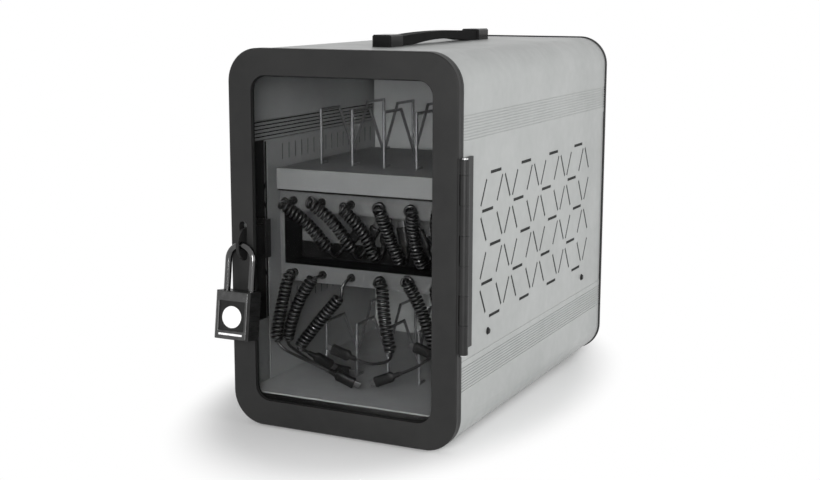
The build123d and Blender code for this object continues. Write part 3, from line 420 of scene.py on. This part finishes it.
def handling_group():
    """Mask = slow noise mixed with a share of smudges that are FINER times finer, stretched to
    run from 0 to 1."""
    group, given, made = new_group(
        "handling", [("Size", 0.09), ("Smudges", 0.35)], [("Mask", "Float")]
    )
    fine_size = group.nodes.new("ShaderNodeMath")
    fine_size.operation = "DIVIDE"
    fine_size.inputs[1].default_value = FINER
    both = group.nodes.new("ShaderNodeMix")
    both.data_type = "FLOAT"
    spread = group.nodes.new("ShaderNodeMapRange")
    spread.inputs["From Min"].default_value = 0.34
    spread.inputs["From Max"].default_value = 0.66
    link = group.links.new
    link(given.outputs["Size"], fine_size.inputs[0])
    link(given.outputs["Smudges"], both.inputs["Factor"])
    link(object_noise(group, given.outputs["Size"], detail=2.0), both.inputs["A"])
    link(object_noise(group, fine_size.outputs[0], detail=4.0), both.inputs["B"])
    link(both.outputs["Result"], spread.inputs["Value"])
    link(spread.outputs["Result"], made.inputs["Mask"])
    return group


FINE_GRAIN = grain_group()
HANDLING = handling_group()
print("effects:", FINE_GRAIN.name, HANDLING.name)

# %% [markdown]
# ## Finishes
#
# A finish is one Principled shader with both effects: handling moves the colour and the
# roughness between two values, and the grain tilts the surface. The values were chosen
# against the photograph: the body is a pale silver paint, the door a warm charcoal, and
# the rims, the handle, the cords and the padlock are black.

# %% Finish helper


def finish(name, colour, worn, rough, metallic, grain, size, specular):
    """Colour = mix(colour, worn, handling) and roughness = mix(rough[0], rough[1], handling)."""
    material = bpy.data.materials.new(name)
    material.use_nodes = True
    tree = material.node_tree
    shader = tree.nodes["Principled BSDF"]
    shader.inputs["Metallic"].default_value = metallic
    shader.inputs["Specular IOR Level"].default_value = specular
    soil = tree.nodes.new("ShaderNodeGroup")
    soil.node_tree = HANDLING
    soil.inputs["Size"].default_value = size
    speckle = tree.nodes.new("ShaderNodeGroup")
    speckle.node_tree = FINE_GRAIN
    speckle.inputs["Size"].default_value, speckle.inputs["Depth"].default_value = grain
    tone = tree.nodes.new("ShaderNodeMix")
    tone.data_type = "RGBA"
    tone.inputs["A"].default_value = (*colour, 1)
    tone.inputs["B"].default_value = (*worn, 1)
    gloss = tree.nodes.new("ShaderNodeMapRange")
    gloss.inputs["To Min"].default_value, gloss.inputs["To Max"].default_value = rough
    tree.links.new(soil.outputs["Mask"], tone.inputs["Factor"])
    tree.links.new(tone.outputs["Result"], shader.inputs["Base Color"])
    tree.links.new(soil.outputs["Mask"], gloss.inputs["Value"])
    tree.links.new(gloss.outputs["Result"], shader.inputs["Roughness"])
    tree.links.new(speckle.outputs["Normal"], shader.inputs["Normal"])
    return material


def grey(level, tint=(1, 1, 1)):
    """A grey of that level, with a slight tint."""
    return tuple(level * t for t in tint)


# %% [markdown]
# The table below gives each finish its colour, its worn colour, the range of its roughness,
# how metallic it is, the size and depth of its grain, the size of its handling marks, and its
# specular level. What is alike in the painted sheets inside is written once. Those sheets are one
# paint, but each part gets its own grey with painted light and shade in it: the charger bank's
# front is darkest, as painted shade, and the back partition is lightest.

# %% Finishes of the cabinet
SILVER, WARM, GREEN = (0.97, 1.0, 0.985), (1, 1, 0.98), (0.95, 1, 0.96)
GRAIN, WIDE = (0.0012, 0.00002), 0.09
# Each inside part's grey holds painted light and shade. The charger bank's front is darkened as
# painted shade.
INSIDE_SHADE_LEVELS = {
    "inner_paint_and_shade": (0.28, 0.25),
    "back_paint_and_shade": (0.45, 0.40),
    "tray_paint_and_shade": (0.32, 0.29),
    "shelf_paint_and_shade": (0.21, 0.19),
    "bank_paint_and_shade": (0.12, 0.105),
}
FINISHES = [
    (name, grey(new, SILVER), grey(worn, SILVER), (0.5, 0.65), 0, GRAIN, WIDE, 0.3)
    for name, (new, worn) in INSIDE_SHADE_LEVELS.items()
] + [
    ("silver_paint", grey(0.37, SILVER), grey(0.335, SILVER), (0.34, 0.44), 0.25, GRAIN, WIDE, 0.5),
    ("charcoal_powder", grey(0.013), grey(0.017, WARM), (0.42, 0.55), 0, (9e-4, 3e-5), WIDE, 0.18),
    ("rim_plastic", grey(0.008), grey(0.012), (0.38, 0.55), 0, GRAIN, WIDE, 0.22),
    ("hinge_paint", grey(0.009), grey(0.013), (0.35, 0.5), 0.1, GRAIN, WIDE, 0.25),
    ("handle_gloss", grey(0.004), grey(0.007), (0.12, 0.24), 0, (1.2e-3, 6e-6), 0.03, 0.12),
    # The vent fill is a dark greenish grey: painted shade inside the side vents.
    ("vent_painted_shade", grey(0.030, GREEN), grey(0.022), (0.6, 0.8), 0, GRAIN, WIDE, 0.08),
    ("dark_rubber", grey(0.003), grey(0.006), (0.6, 0.8), 0, (8e-4, 4e-5), WIDE, 0.08),
    ("bright_steel", grey(0.55), grey(0.47), (0.22, 0.36), 1, (6e-4, 6e-6), 0.03, 0.5),
    ("black_screw", grey(0.004), grey(0.008), (0.3, 0.45), 0, GRAIN, WIDE, 0.15),
    ("plug_steel", grey(0.22), grey(0.16), (0.3, 0.45), 1, (6e-4, 6e-6), 0.01, 0.5),
    ("lock_steel", grey(0.10), grey(0.07), (0.08, 0.14), 1, (9e-4, 2e-6), 0.02, 0.5),
    ("cord_skin", grey(0.002), grey(0.003), (0.31, 0.37), 0, (6e-4, 4e-6), 0.02, 0.85),
    ("plug_black", grey(0.006), grey(0.010), (0.34, 0.5), 0, (5e-4, 1.5e-5), 0.015, 0.25),
    ("lock_black", grey(0.006), grey(0.014), (0.28, 0.45), 0, (7e-4, 3e-5), 0.012, 0.2),
    ("disc_white", grey(0.80), grey(0.74), (0.3, 0.4), 0, (1e-3, 5e-6), 0.01, 0.5),
    ("frame_metal", grey(0.09), grey(0.05), (0.24, 0.4), 0.85, (6e-4, 1e-5), 0.01, 0.5),
]
PAINTS = {values[0]: finish(*values) for values in FINISHES}
print("finishes:", len(PAINTS))

# %% [markdown]
# ## Smoked glass
#
# The pane is grey acrylic with hardly a reflection on it, so its index of refraction is set
# low. Light that only passes through it should still reach the trays behind, so shadow rays
# see a clear, nearly white surface, and all other rays see the smoked glass.

# %% Smoked pane
PANE_COLOUR = (0.55, 0.55, 0.5555)
PANE_SHADOW = (0.90, 0.90, 0.90)
PANE_ROUGHNESS = 0.03
PANE_IOR = 1.06


def smoked_glass():
    """Glass of one tint for sight, and a clear, paler tint for shadow rays."""
    material = bpy.data.materials.new("smoked_glass")
    material.use_nodes = True
    tree = material.node_tree
    shader = tree.nodes["Principled BSDF"]
    shader.inputs["Base Color"].default_value = (*PANE_COLOUR, 1)
    shader.inputs["Roughness"].default_value = PANE_ROUGHNESS
    shader.inputs["IOR"].default_value = PANE_IOR
    shader.inputs["Transmission Weight"].default_value = 1.0
    clear = tree.nodes.new("ShaderNodeBsdfTransparent")
    clear.inputs["Color"].default_value = (*PANE_SHADOW, 1)
    path = tree.nodes.new("ShaderNodeLightPath")
    mix = tree.nodes.new("ShaderNodeMixShader")
    tree.links.new(path.outputs["Is Shadow Ray"], mix.inputs[0])
    tree.links.new(shader.outputs["BSDF"], mix.inputs[1])
    tree.links.new(clear.outputs["BSDF"], mix.inputs[2])
    tree.links.new(mix.outputs["Shader"], tree.nodes["Material Output"].inputs["Surface"])
    return material


PAINTS["smoked_glass"] = smoked_glass()

# %% [markdown]
# A CAD node gets its finish by name. The wire dividers aren't listed, so they keep the plain
# steel that they come with, as the two boxes inside keep their grey.

# %% Dress the CAD nodes
DRESS = {
    "silver_paint": ["top_shell", "bottom_shell", "left_side_panel", "right_side_panel"],
    # The inside sheets get greys with painted light and shade in them.
    "inner_paint_and_shade": ["left_liner", "right_liner"],
    "back_paint_and_shade": ["back_partition"],
    "tray_paint_and_shade": ["floor_tray"],
    "shelf_paint_and_shade": ["shelf_tray"],
    "bank_paint_and_shade": ["bank_housing"],
    "charcoal_powder": ["door_frame"],
    "rim_plastic": ["front_trim", "rear_trim", "mains_inlet", "switch_frame", "power_switch",
                    "upper_grommets", "lower_grommets"],
    "handle_gloss": ["handle_front_cap", "handle_rear_cap"],
    "hinge_paint": ["hinge_door_leaf", "hinge_body_leaf", "latch_slide", "keeper", "lock_rail",
                    "rear_panel"],
    "lock_black": ["padlock_body"],
    "dark_rubber": ["feet", "pane_gasket", "handle_strap"],
    "bright_steel": ["hinge_pin"],
    "black_screw": ["side_screws"],
    "lock_steel": ["padlock_shackle"],
    "smoked_glass": ["window_pane"],
}
for paint, names in DRESS.items():
    for name in names:
        mesh = nodes[name].data
        mesh.materials.clear()
        mesh.materials.append(PAINTS[paint])
print("dressed", sum(len(names) for names in DRESS.values()), "CAD nodes")

# %% [markdown]
# ## The twelve cords
#
# Most cords start winding close to their grommet. In the lower row one cord hangs by a bare
# length first, as slack ones do. The tube's ends are flat: one meets the grommet and the
# other is inside the plug. Spans and pitches are in metres along the slack axis, and the
# windings of each row turn one way in its left half and the other way in its right half.

# %% Cords and plugs
COIL_SPANS = {
    "upper": [(0.011, 0.106), (0.011, 0.106), (0.010, 0.098), (0.004, 0.092), (0.004, 0.092),
              (0.004, 0.092)],
    "lower": [(0.003, 0.104), (0.012, 0.121), (0.033, 0.132), (0.003, 0.104), (0.003, 0.112),
              (0.003, 0.100)],
}
CURL_PITCHES = {
    "upper": (0.00575, 0.0059, 0.0055, 0.0050, 0.0050, 0.0052),
    "lower": (0.00575, 0.0066, 0.00585, 0.0054, 0.0049, 0.0052),
}
HAND = (1, 1, 1, -1, -1, -1)


def plug_frame(line):
    """The plug's own axes: z on along the tail, and x square to it in an upright plane across
    the cabinet, so that the flat of the grip faces the door."""
    way = unit(line[-1] - line[-2])
    across = unit(np.cross([0.0, 1.0, 0.0], way))
    return np.stack([across, np.cross(way, across), way])


def make_plug(tier, number, line):
    """One plug as a grip with a metal tip, both turned into the tail's axes."""
    axes = plug_frame(line)
    forms = [closed_tube(form @ axes + line[-1]) for form in (grip_sections(), tip_sections())]
    vertices, faces = joined(forms)
    name = f"{tier}_plug_{number}"
    piece = make_piece(name, vertices, faces, "cabinet", PAINTS["plug_black"])
    piece.data.materials.append(PAINTS["plug_steel"])
    marks = np.zeros(len(faces), int)
    marks[len(forms[0][1]):] = 1
    piece.data.polygons.foreach_set("material_index", marks)
    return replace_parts(piece, f"{tier}_plugs")


def make_cord(tier, number):
    """A grommet's cord: wound tube and plug. It returns the cord's curls and length as text."""
    name = f"{tier}_cord_{number}"
    axis_line = centreline(route_points(tier, number), name + "_axis")
    start, end = COIL_SPANS[tier][number - 1]
    line, curls = wind(axis_line, start, end, CURL_PITCHES[tier][number - 1], HAND[number - 1])
    vertices, faces = closed_tube(tube_along(line))
    piece = make_piece(f"{tier}_curly_{number}", vertices, faces, "cabinet", PAINTS["cord_skin"])
    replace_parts(piece, name)
    plug = make_plug(tier, number, axis_line)
    length = float(length_along(line)[-1])
    return f"{name}: {curls} curls, {length:.2f} m"


for tier in ROUTES:
    for number in range(1, len(EXITS) + 1):
        print(make_cord(tier, number))

# %% [markdown]
# ## Small trim inside
#
# Some thin black and ribbed trim shows through the window, and most of it is painted shade: a
# black lining in the charger bank's trough, for the shade there and the black cords lying in it,
# a black strip of painted shadow under the shelf's front lip, a dark strip of painted shade before
# the floor tray's flange, dark sheets behind the slotted walls and dark bars in their slots, which
# stand in for the shade behind them, and fine ribs along the side rails with painted shade in
# their grooves. All of it is straight, so nearly every piece is a bar: it fills a box of limits in
# millimetres and has round edges along one axis.

# %% Straight sections
SIDES = ((-1, "left"), (1, "right"))


def carry(section, axis, low, high):
    """A closed section in the two other axes' millimetres, carried along axis 0, 1 or 2 from
    low to high, as vertices and faces."""
    section = np.asarray(section, float)
    ends = [np.insert(section, axis, place, axis=1) for place in (low, high)]
    return closed_tube(metres(np.stack(ends)))


def soft_rectangle(first, second, radius, per_corner=4):
    """A rectangle between two limits on each axis, with round corners, as section points."""
    t = np.linspace(0, np.pi / 2, per_corner)
    turns = np.concatenate([t + k * np.pi / 2 for k in range(4)])
    signs = np.repeat([(1, 1), (-1, 1), (-1, -1), (1, -1)], per_corner, axis=0)
    middle = np.array([sum(first), sum(second)]) / 2
    half = np.array([first[1] - first[0], second[1] - second[0]]) / 2
    return middle + signs * (half - radius) + radius * np.c_[np.cos(turns), np.sin(turns)]


def centred_rectangle(half_width, half_height, radius, per_corner):
    """The same about zero, from its half sizes."""
    limits = [(-half, half) for half in (half_width, half_height)]
    return soft_rectangle(*limits, radius, per_corner)


def bar(limits, axis, radius):
    """Vertices and faces of a bar that fills (X, Y, Z) limits, round along the axis."""
    across = [limits[k] for k in range(3) if k != axis]
    return carry(soft_rectangle(*across, radius), axis, *limits[axis])


def on_side(side, near, far):
    """X limits at that distance from the middle, on the left (-1) or the right (1)."""
    return sorted((side * near, side * far))


def add_trim(name, form, paint, smooth=True):
    """A piece on the cabinet from (vertices, faces), with its paint."""
    make_piece(name, *form, "cabinet", PAINTS[paint], smooth)


# %% Painted shade: trough lining, lip, flange and walls
TROUGH_X, TROUGH_LOW, TROUGH_HIGH = 119.4, 199.1, 269.4
TROUGH_DEPTH, SHADE_SKIN = (70.2, 114.8), 0.7
FOLD_SHADE = ((-118.6, 118.6), (114.1, 114.8), (199.9, 222.0))
LIP_SHADOW = ((-125, 125), (62.2, 69.8), (295.8, 297.9))
FLANGE_SHADE = ((-147, 147), (17.9, 18.9), (22.2, 35.7))
WALL_SHADE_X, WALL_SHADE_Y, WALL_SHADE_Z = (149.5, 150.2), (73.4, 382.6), (122.0, 357.0)

# The trough's black lining is painted shade for the deep trough, and it stands in for the black
# cords lying in it.
outside = [(-TROUGH_X, TROUGH_HIGH), (-TROUGH_X, TROUGH_LOW), (TROUGH_X, TROUGH_LOW),
           (TROUGH_X, TROUGH_HIGH)]
shade_inside = [(x - math.copysign(SHADE_SKIN, x), max(z, TROUGH_LOW + SHADE_SKIN))
          for x, z in outside[::-1]]
add_trim("trough_painted_shade", carry(outside + shade_inside, 1, *TROUGH_DEPTH), "dark_rubber", False)
add_trim("trough_shade_fold", bar(FOLD_SHADE, 0, 0.3), "dark_rubber", False)
# The black strip under the shelf's front lip is painted shadow.
add_trim("shelf_lip_shadow", bar(LIP_SHADOW, 0, 0.5), "dark_rubber")
# The dark strip before the floor tray's flange is painted shade on its front.
add_trim("tray_flange_shade", bar(FLANGE_SHADE, 0, 0.4), "charcoal_powder")
# The dark sheets behind the slotted walls are painted shade.
for side, name in SIDES:
    wall_shade = (on_side(side, *WALL_SHADE_X), WALL_SHADE_Y, WALL_SHADE_Z)
    add_trim(name + "_wall_shade", bar(wall_shade, 1, 0.2), "dark_rubber")
print("liner", 2 * TROUGH_X, "mm wide, wall_shades at", WALL_SHADE_X, "mm")

# %% Painted shade in the slots of the liners
SLOT_TOPS, SLOT_COUNT, SLOT_FIRST, SLOT_PITCH = (351.0, 151.0), 16, 112.0, 17.0
SLOT_SHADE_X, SLOT_SHADE_HALF, SLOT_SHADE_LOW, SLOT_SHADE_HIGH = (146.15, 147.0), 0.95, -20.9, -0.1
# Dark bars in the liners' slots are painted shade that hides the slots' lit walls.
for side, name in SIDES:
    slot_shade_bars = []
    for top in SLOT_TOPS:
        for middle in SLOT_FIRST + SLOT_PITCH * np.arange(SLOT_COUNT):
            limits = (on_side(side, *SLOT_SHADE_X), (middle - SLOT_SHADE_HALF, middle + SLOT_SHADE_HALF),
                      (top + SLOT_SHADE_LOW, top + SLOT_SHADE_HIGH))
            slot_shade_bars.append(bar(limits, 2, 0.1))
    add_trim(name + "_slot_shades", joined(slot_shade_bars), "dark_rubber", False)
print("inserts:", len(slot_shade_bars), "on each side")

# %% Painted shade in the side vents
SHELL_MIDDLE, VENT_SHIFT, VENT_PITCH, VENT_MIDDLE = 283.0, 3.0, 52.5, 240.0
VENT_FIRST = SHELL_MIDDLE - VENT_SHIFT - 3.5 * VENT_PITCH
VENT_ROW = VENT_PITCH * math.sqrt(3) / 2
VENT_COLUMNS, VENT_LEVELS = 4, 5
VENT_SHADE_X, VENT_SHADE_HALF = (153.3, 155.1), (17.9, 1.9)


def vent_places():
    """(Y, Z, turn) of each slot: they lie on the edges of a lattice of equal triangles."""
    places = []
    top = (VENT_LEVELS - 1) / 2
    for j in range(VENT_COLUMNS):
        for level in range(VENT_LEVELS):
            shift = 2 * j + (0.5 if level % 2 == 0 else 0.0)
            places.append((shift, top - level, 0))
        for band in range(VENT_LEVELS - 1):
            way = 60 if band % 2 == 0 else -60
            places += [(2 * j + shift, top - 0.5 - band, way * lean)
                       for shift, lean in ((-0.25, 1), (0.75, 1), (1.25, -1))]
    return [(VENT_FIRST + y * VENT_PITCH, VENT_MIDDLE + z * VENT_ROW, turn)
            for y, z, turn in places]


def turned_slot(y, z, turn):
    """A slot's outline, turned by that many degrees about (y, z)."""
    c, s = math.cos(math.radians(turn)), math.sin(math.radians(turn))
    outline = centred_rectangle(*VENT_SHADE_HALF, 0.1, 2)
    return outline @ np.array([[c, s], [-s, c]]) + (y, z)


# Dark greenish bars fill the side vents: painted shade that hides the slots' lit walls.
for side, name in SIDES:
    meshes = [carry(turned_slot(*place), 0, *on_side(side, *VENT_SHADE_X)) for place in vent_places()]
    add_trim(name + "_vent_painted_shade", joined(meshes), "vent_painted_shade", False)
print("vents:", len(meshes), "slots on each side")

# %% Ribs along the side rails
GROOVE_SHADE_X, GROOVE_SHADE_Y, GROOVE_SHADE_Z = (149.5, 149.98), (16, 382), (359.1, 383.8)
RIB_TOPS, RIB_HEIGHT = (382.4, 377.6, 372.8, 368.0, 363.2), 3.4
RIB_X, RIB_Y = (148.4, 149.6), (16.5, 381.5)
for side, name in SIDES:
    # The dark backing behind the ribs is painted shade in their grooves and above the top rib.
    groove_shade = (on_side(side, *GROOVE_SHADE_X), GROOVE_SHADE_Y, GROOVE_SHADE_Z)
    add_trim(name + "_rail_groove_shade", bar(groove_shade, 1, 0.2), "dark_rubber", False)
    for k, top in enumerate(RIB_TOPS):
        rib = (on_side(side, *RIB_X), RIB_Y, (top - RIB_HEIGHT, top))
        add_trim(f"{name}_rail_rib_{k + 1}", bar(rib, 1, 0.5), "inner_paint_and_shade", False)
print("ribs:", len(RIB_TOPS), "on each rail")

# %% [markdown]
# ## The padlock's face
#
# A bevelled metal plate frames the padlock's front, with a plain white disc in its recess and
# a pale bar below. Each is a stack of outlines, one in front of the other, that are joined
# like the rings of a tube. They are laid out on an upright padlock, and one turn about the
# latch's hole leans them out with the padlock.

# %% Outlines on the padlock
PADLOCK_X, PADLOCK_FRONT = -137.0, -22.2
HOLE_Y, HOLE_Z, LEAN = -7.2, 233.8, math.radians(8.0)
CORNER_POINTS = 8


def leaning(points):
    """Points turned about the hole: y = y0 + dy cos a + dz sin a, z = z0 - dy sin a + dz cos a."""
    dy, dz = points[..., 1] - HOLE_Y, points[..., 2] - HOLE_Z
    y = HOLE_Y + dy * math.cos(LEAN) + dz * math.sin(LEAN)
    z = HOLE_Z - dy * math.sin(LEAN) + dz * math.cos(LEAN)
    return np.stack([points[..., 0], y, z], axis=-1)


def stack_outlines(rows):
    """A grid in metres from rows of (half width, half height, radius, centre z, rise)."""
    rings = []
    for half_width, half_height, radius, centre, rise in rows:
        outline = centred_rectangle(half_width, half_height, radius, CORNER_POINTS)
        depth = np.full(len(outline), PADLOCK_FRONT - rise)
        rings.append(np.c_[PADLOCK_X + outline[:, 0], depth, centre + outline[:, 1]])
    return metres(leaning(np.stack(rings)))


# %% Frame, disc and bar
PLATE_Z, RECESS_Z, DISC_Z, BAR_Z = 145.5, 144.8, 143.4, 121.4
DISC_RIM = ((14.0, -1.6), (14.0, -0.5), (13.7, -0.2), (12.6, 0.0), (6.0, 0.1))

frame_grid = stack_outlines([
    (22.4, 29.8, 2.0, PLATE_Z, -0.2), (22.4, 29.8, 2.0, PLATE_Z, 0.3),
    (21.8, 29.2, 1.6, PLATE_Z, 0.7), (19.5, 19.7, 1.4, RECESS_Z, 0.7),
    (18.7, 18.9, 1.0, RECESS_Z, 0.1), (18.4, 18.6, 1.0, RECESS_Z, -1.6),
])
rows, columns, _ = frame_grid.shape
ring_faces = np.array(grid_faces(rows + 1, columns)) % (rows * columns)
frame_plate = make_piece("padlock_frame", frame_grid.reshape(-1, 3), ring_faces.tolist(),
                         "padlock", PAINTS["frame_metal"], smooth=False)
disc_grid = stack_outlines([(r, r, r - 0.01, DISC_Z, rise) for r, rise in DISC_RIM])
disc = make_piece("padlock_disc", *closed_tube(disc_grid), "padlock", PAINTS["disc_white"])
bar_grid = stack_outlines([
    (17.4, 1.3, 1.2, BAR_Z, 0.6), (17.4, 1.3, 1.2, BAR_Z, 1.1), (17.1, 1.0, 0.9, BAR_Z, 1.4),
])
pale_bar = make_piece("padlock_bar", *closed_tube(bar_grid), "padlock", PAINTS["disc_white"],
                      smooth=False)
print("padlock's face:", frame_plate.name, disc.name, pale_bar.name)

# %% [markdown]
# ## Floor, light and background
#
# The studio is plain. The floor is pale and keeps the shadow next to the cabinet. Further out
# it turns into plain white for sight and reflections, so that no horizon shows, and the world
# behind it is the same white. A big soft lamp on the right lights the vented side, a smaller
# one in front, above the cabinet's height, reaches through the window on to the trays, and a
# faint one stands over it.

# %% White for sight


def sight_mask(tree):
    """1 for camera, glossy and transmission rays and 0 for the rest, by two maximum nodes."""
    path = tree.nodes.new("ShaderNodeLightPath")
    mask = path.outputs["Is Camera Ray"]
    for name in ("Is Glossy Ray", "Is Transmission Ray"):
        larger = tree.nodes.new("ShaderNodeMath")
        larger.operation = "MAXIMUM"
        tree.links.new(mask, larger.inputs[0])
        tree.links.new(path.outputs[name], larger.inputs[1])
        mask = larger.outputs[0]
    return mask


# %% Floor
FLOOR_HALF, FLOOR_GREY, FLOOR_ROUGHNESS = 6.0, 0.93, 0.9
SHADOW_HALF, SHADOW_SHIFT = (0.17, 0.30), 0.15
FADE_START, FADE_END = 1.15, 1.62

corners = [(-FLOOR_HALF, -FLOOR_HALF, 0), (FLOOR_HALF, -FLOOR_HALF, 0),
           (FLOOR_HALF, FLOOR_HALF, 0), (-FLOOR_HALF, FLOOR_HALF, 0)]
floor_mesh = bpy.data.meshes.new("studio_floor")
floor_mesh.from_pydata(corners, [], [(0, 1, 2, 3)])
floor = bpy.data.objects.new("studio_floor", floor_mesh)
bpy.context.scene.collection.objects.link(floor)

floor_paint = bpy.data.materials.new("floor_paint")
floor_paint.use_nodes = True
floor_mesh.materials.append(floor_paint)
tree = floor_paint.node_tree
matt = tree.nodes["Principled BSDF"]
matt.inputs["Base Color"].default_value = (FLOOR_GREY, FLOOR_GREY, FLOOR_GREY, 1)
matt.inputs["Roughness"].default_value = FLOOR_ROUGHNESS
place = tree.nodes.new("ShaderNodeTexCoord")
footprint = tree.nodes.new("ShaderNodeMapping")
footprint.inputs["Scale"].default_value = (1 / SHADOW_HALF[0], 1 / SHADOW_HALF[1], 1)
footprint.inputs["Location"].default_value = (SHADOW_SHIFT, 0, 0)
distance = tree.nodes.new("ShaderNodeVectorMath")
distance.operation = "LENGTH"
fade = tree.nodes.new("ShaderNodeMapRange")
fade.interpolation_type = "SMOOTHSTEP"
fade.inputs["From Min"].default_value = FADE_START
fade.inputs["From Max"].default_value = FADE_END
both = tree.nodes.new("ShaderNodeMath")
both.operation = "MULTIPLY"
white = tree.nodes.new("ShaderNodeEmission")
blend = tree.nodes.new("ShaderNodeMixShader")
tree.links.new(place.outputs["Object"], footprint.inputs["Vector"])
tree.links.new(footprint.outputs["Vector"], distance.inputs[0])
tree.links.new(distance.outputs["Value"], fade.inputs["Value"])
tree.links.new(fade.outputs["Result"], both.inputs[0])
tree.links.new(sight_mask(tree), both.inputs[1])
tree.links.new(both.outputs[0], blend.inputs[0])
tree.links.new(matt.outputs["BSDF"], blend.inputs[1])
tree.links.new(white.outputs["Emission"], blend.inputs[2])
tree.links.new(blend.outputs["Shader"], tree.nodes["Material Output"].inputs["Surface"])
print("floor:", 2 * FLOOR_HALF, "m wide")


# %% Lamps and world
LAMPS = {
    "side_lamp": ((2.6, 0.2, 0.85), (0.16, 0.0, 0.25), (1.8, 1.4), 35),
    "front_lamp": ((0.75, -2.35, 0.74), (0, 0, 0.25), (0.8, 0.7), 60),
    "top_lamp": ((-0.2, 0.5, 2.6), (0, 0, 0.4), (1.6, 1.6), 0.5),
}
WORLD_STRENGTH = 0.25


def soft_lamp(name, place, target, size, power):
    """An area lamp of that size in metres and power in watts, aimed from place at target. With
    (x, y, z) from target to place it is tipped by atan2(hypot(x, y), z) and then turned by
    atan2(x, -y)."""
    lamp = bpy.data.lights.new(name, "AREA")
    lamp.shape = "RECTANGLE"
    lamp.size, lamp.size_y = size
    lamp.energy = power
    holder = bpy.data.objects.new(name, lamp)
    bpy.context.scene.collection.objects.link(holder)
    holder.location = place
    x, y, z = np.asarray(place, float) - np.asarray(target, float)
    holder.rotation_euler = (math.atan2(math.hypot(x, y), z), 0, math.atan2(x, -y))


for name, values in LAMPS.items():
    soft_lamp(name, *values)

world = bpy.data.worlds.new("studio")
bpy.context.scene.world = world
world.use_nodes = True
tree = world.node_tree
dim = tree.nodes["Background"]
dim.inputs["Color"].default_value = (1, 1, 1, 1)
dim.inputs["Strength"].default_value = WORLD_STRENGTH
white = tree.nodes.new("ShaderNodeBackground")
white.inputs["Color"].default_value = (1, 1, 1, 1)
choose = tree.nodes.new("ShaderNodeMixShader")
tree.links.new(sight_mask(tree), choose.inputs[0])
tree.links.new(dim.outputs[0], choose.inputs[1])
tree.links.new(white.outputs[0], choose.inputs[2])
tree.links.new(choose.outputs[0], tree.nodes["World Output"].inputs["Surface"])
bpy.context.scene.view_settings.view_transform = "Standard"
print("lamps:", ", ".join(LAMPS))
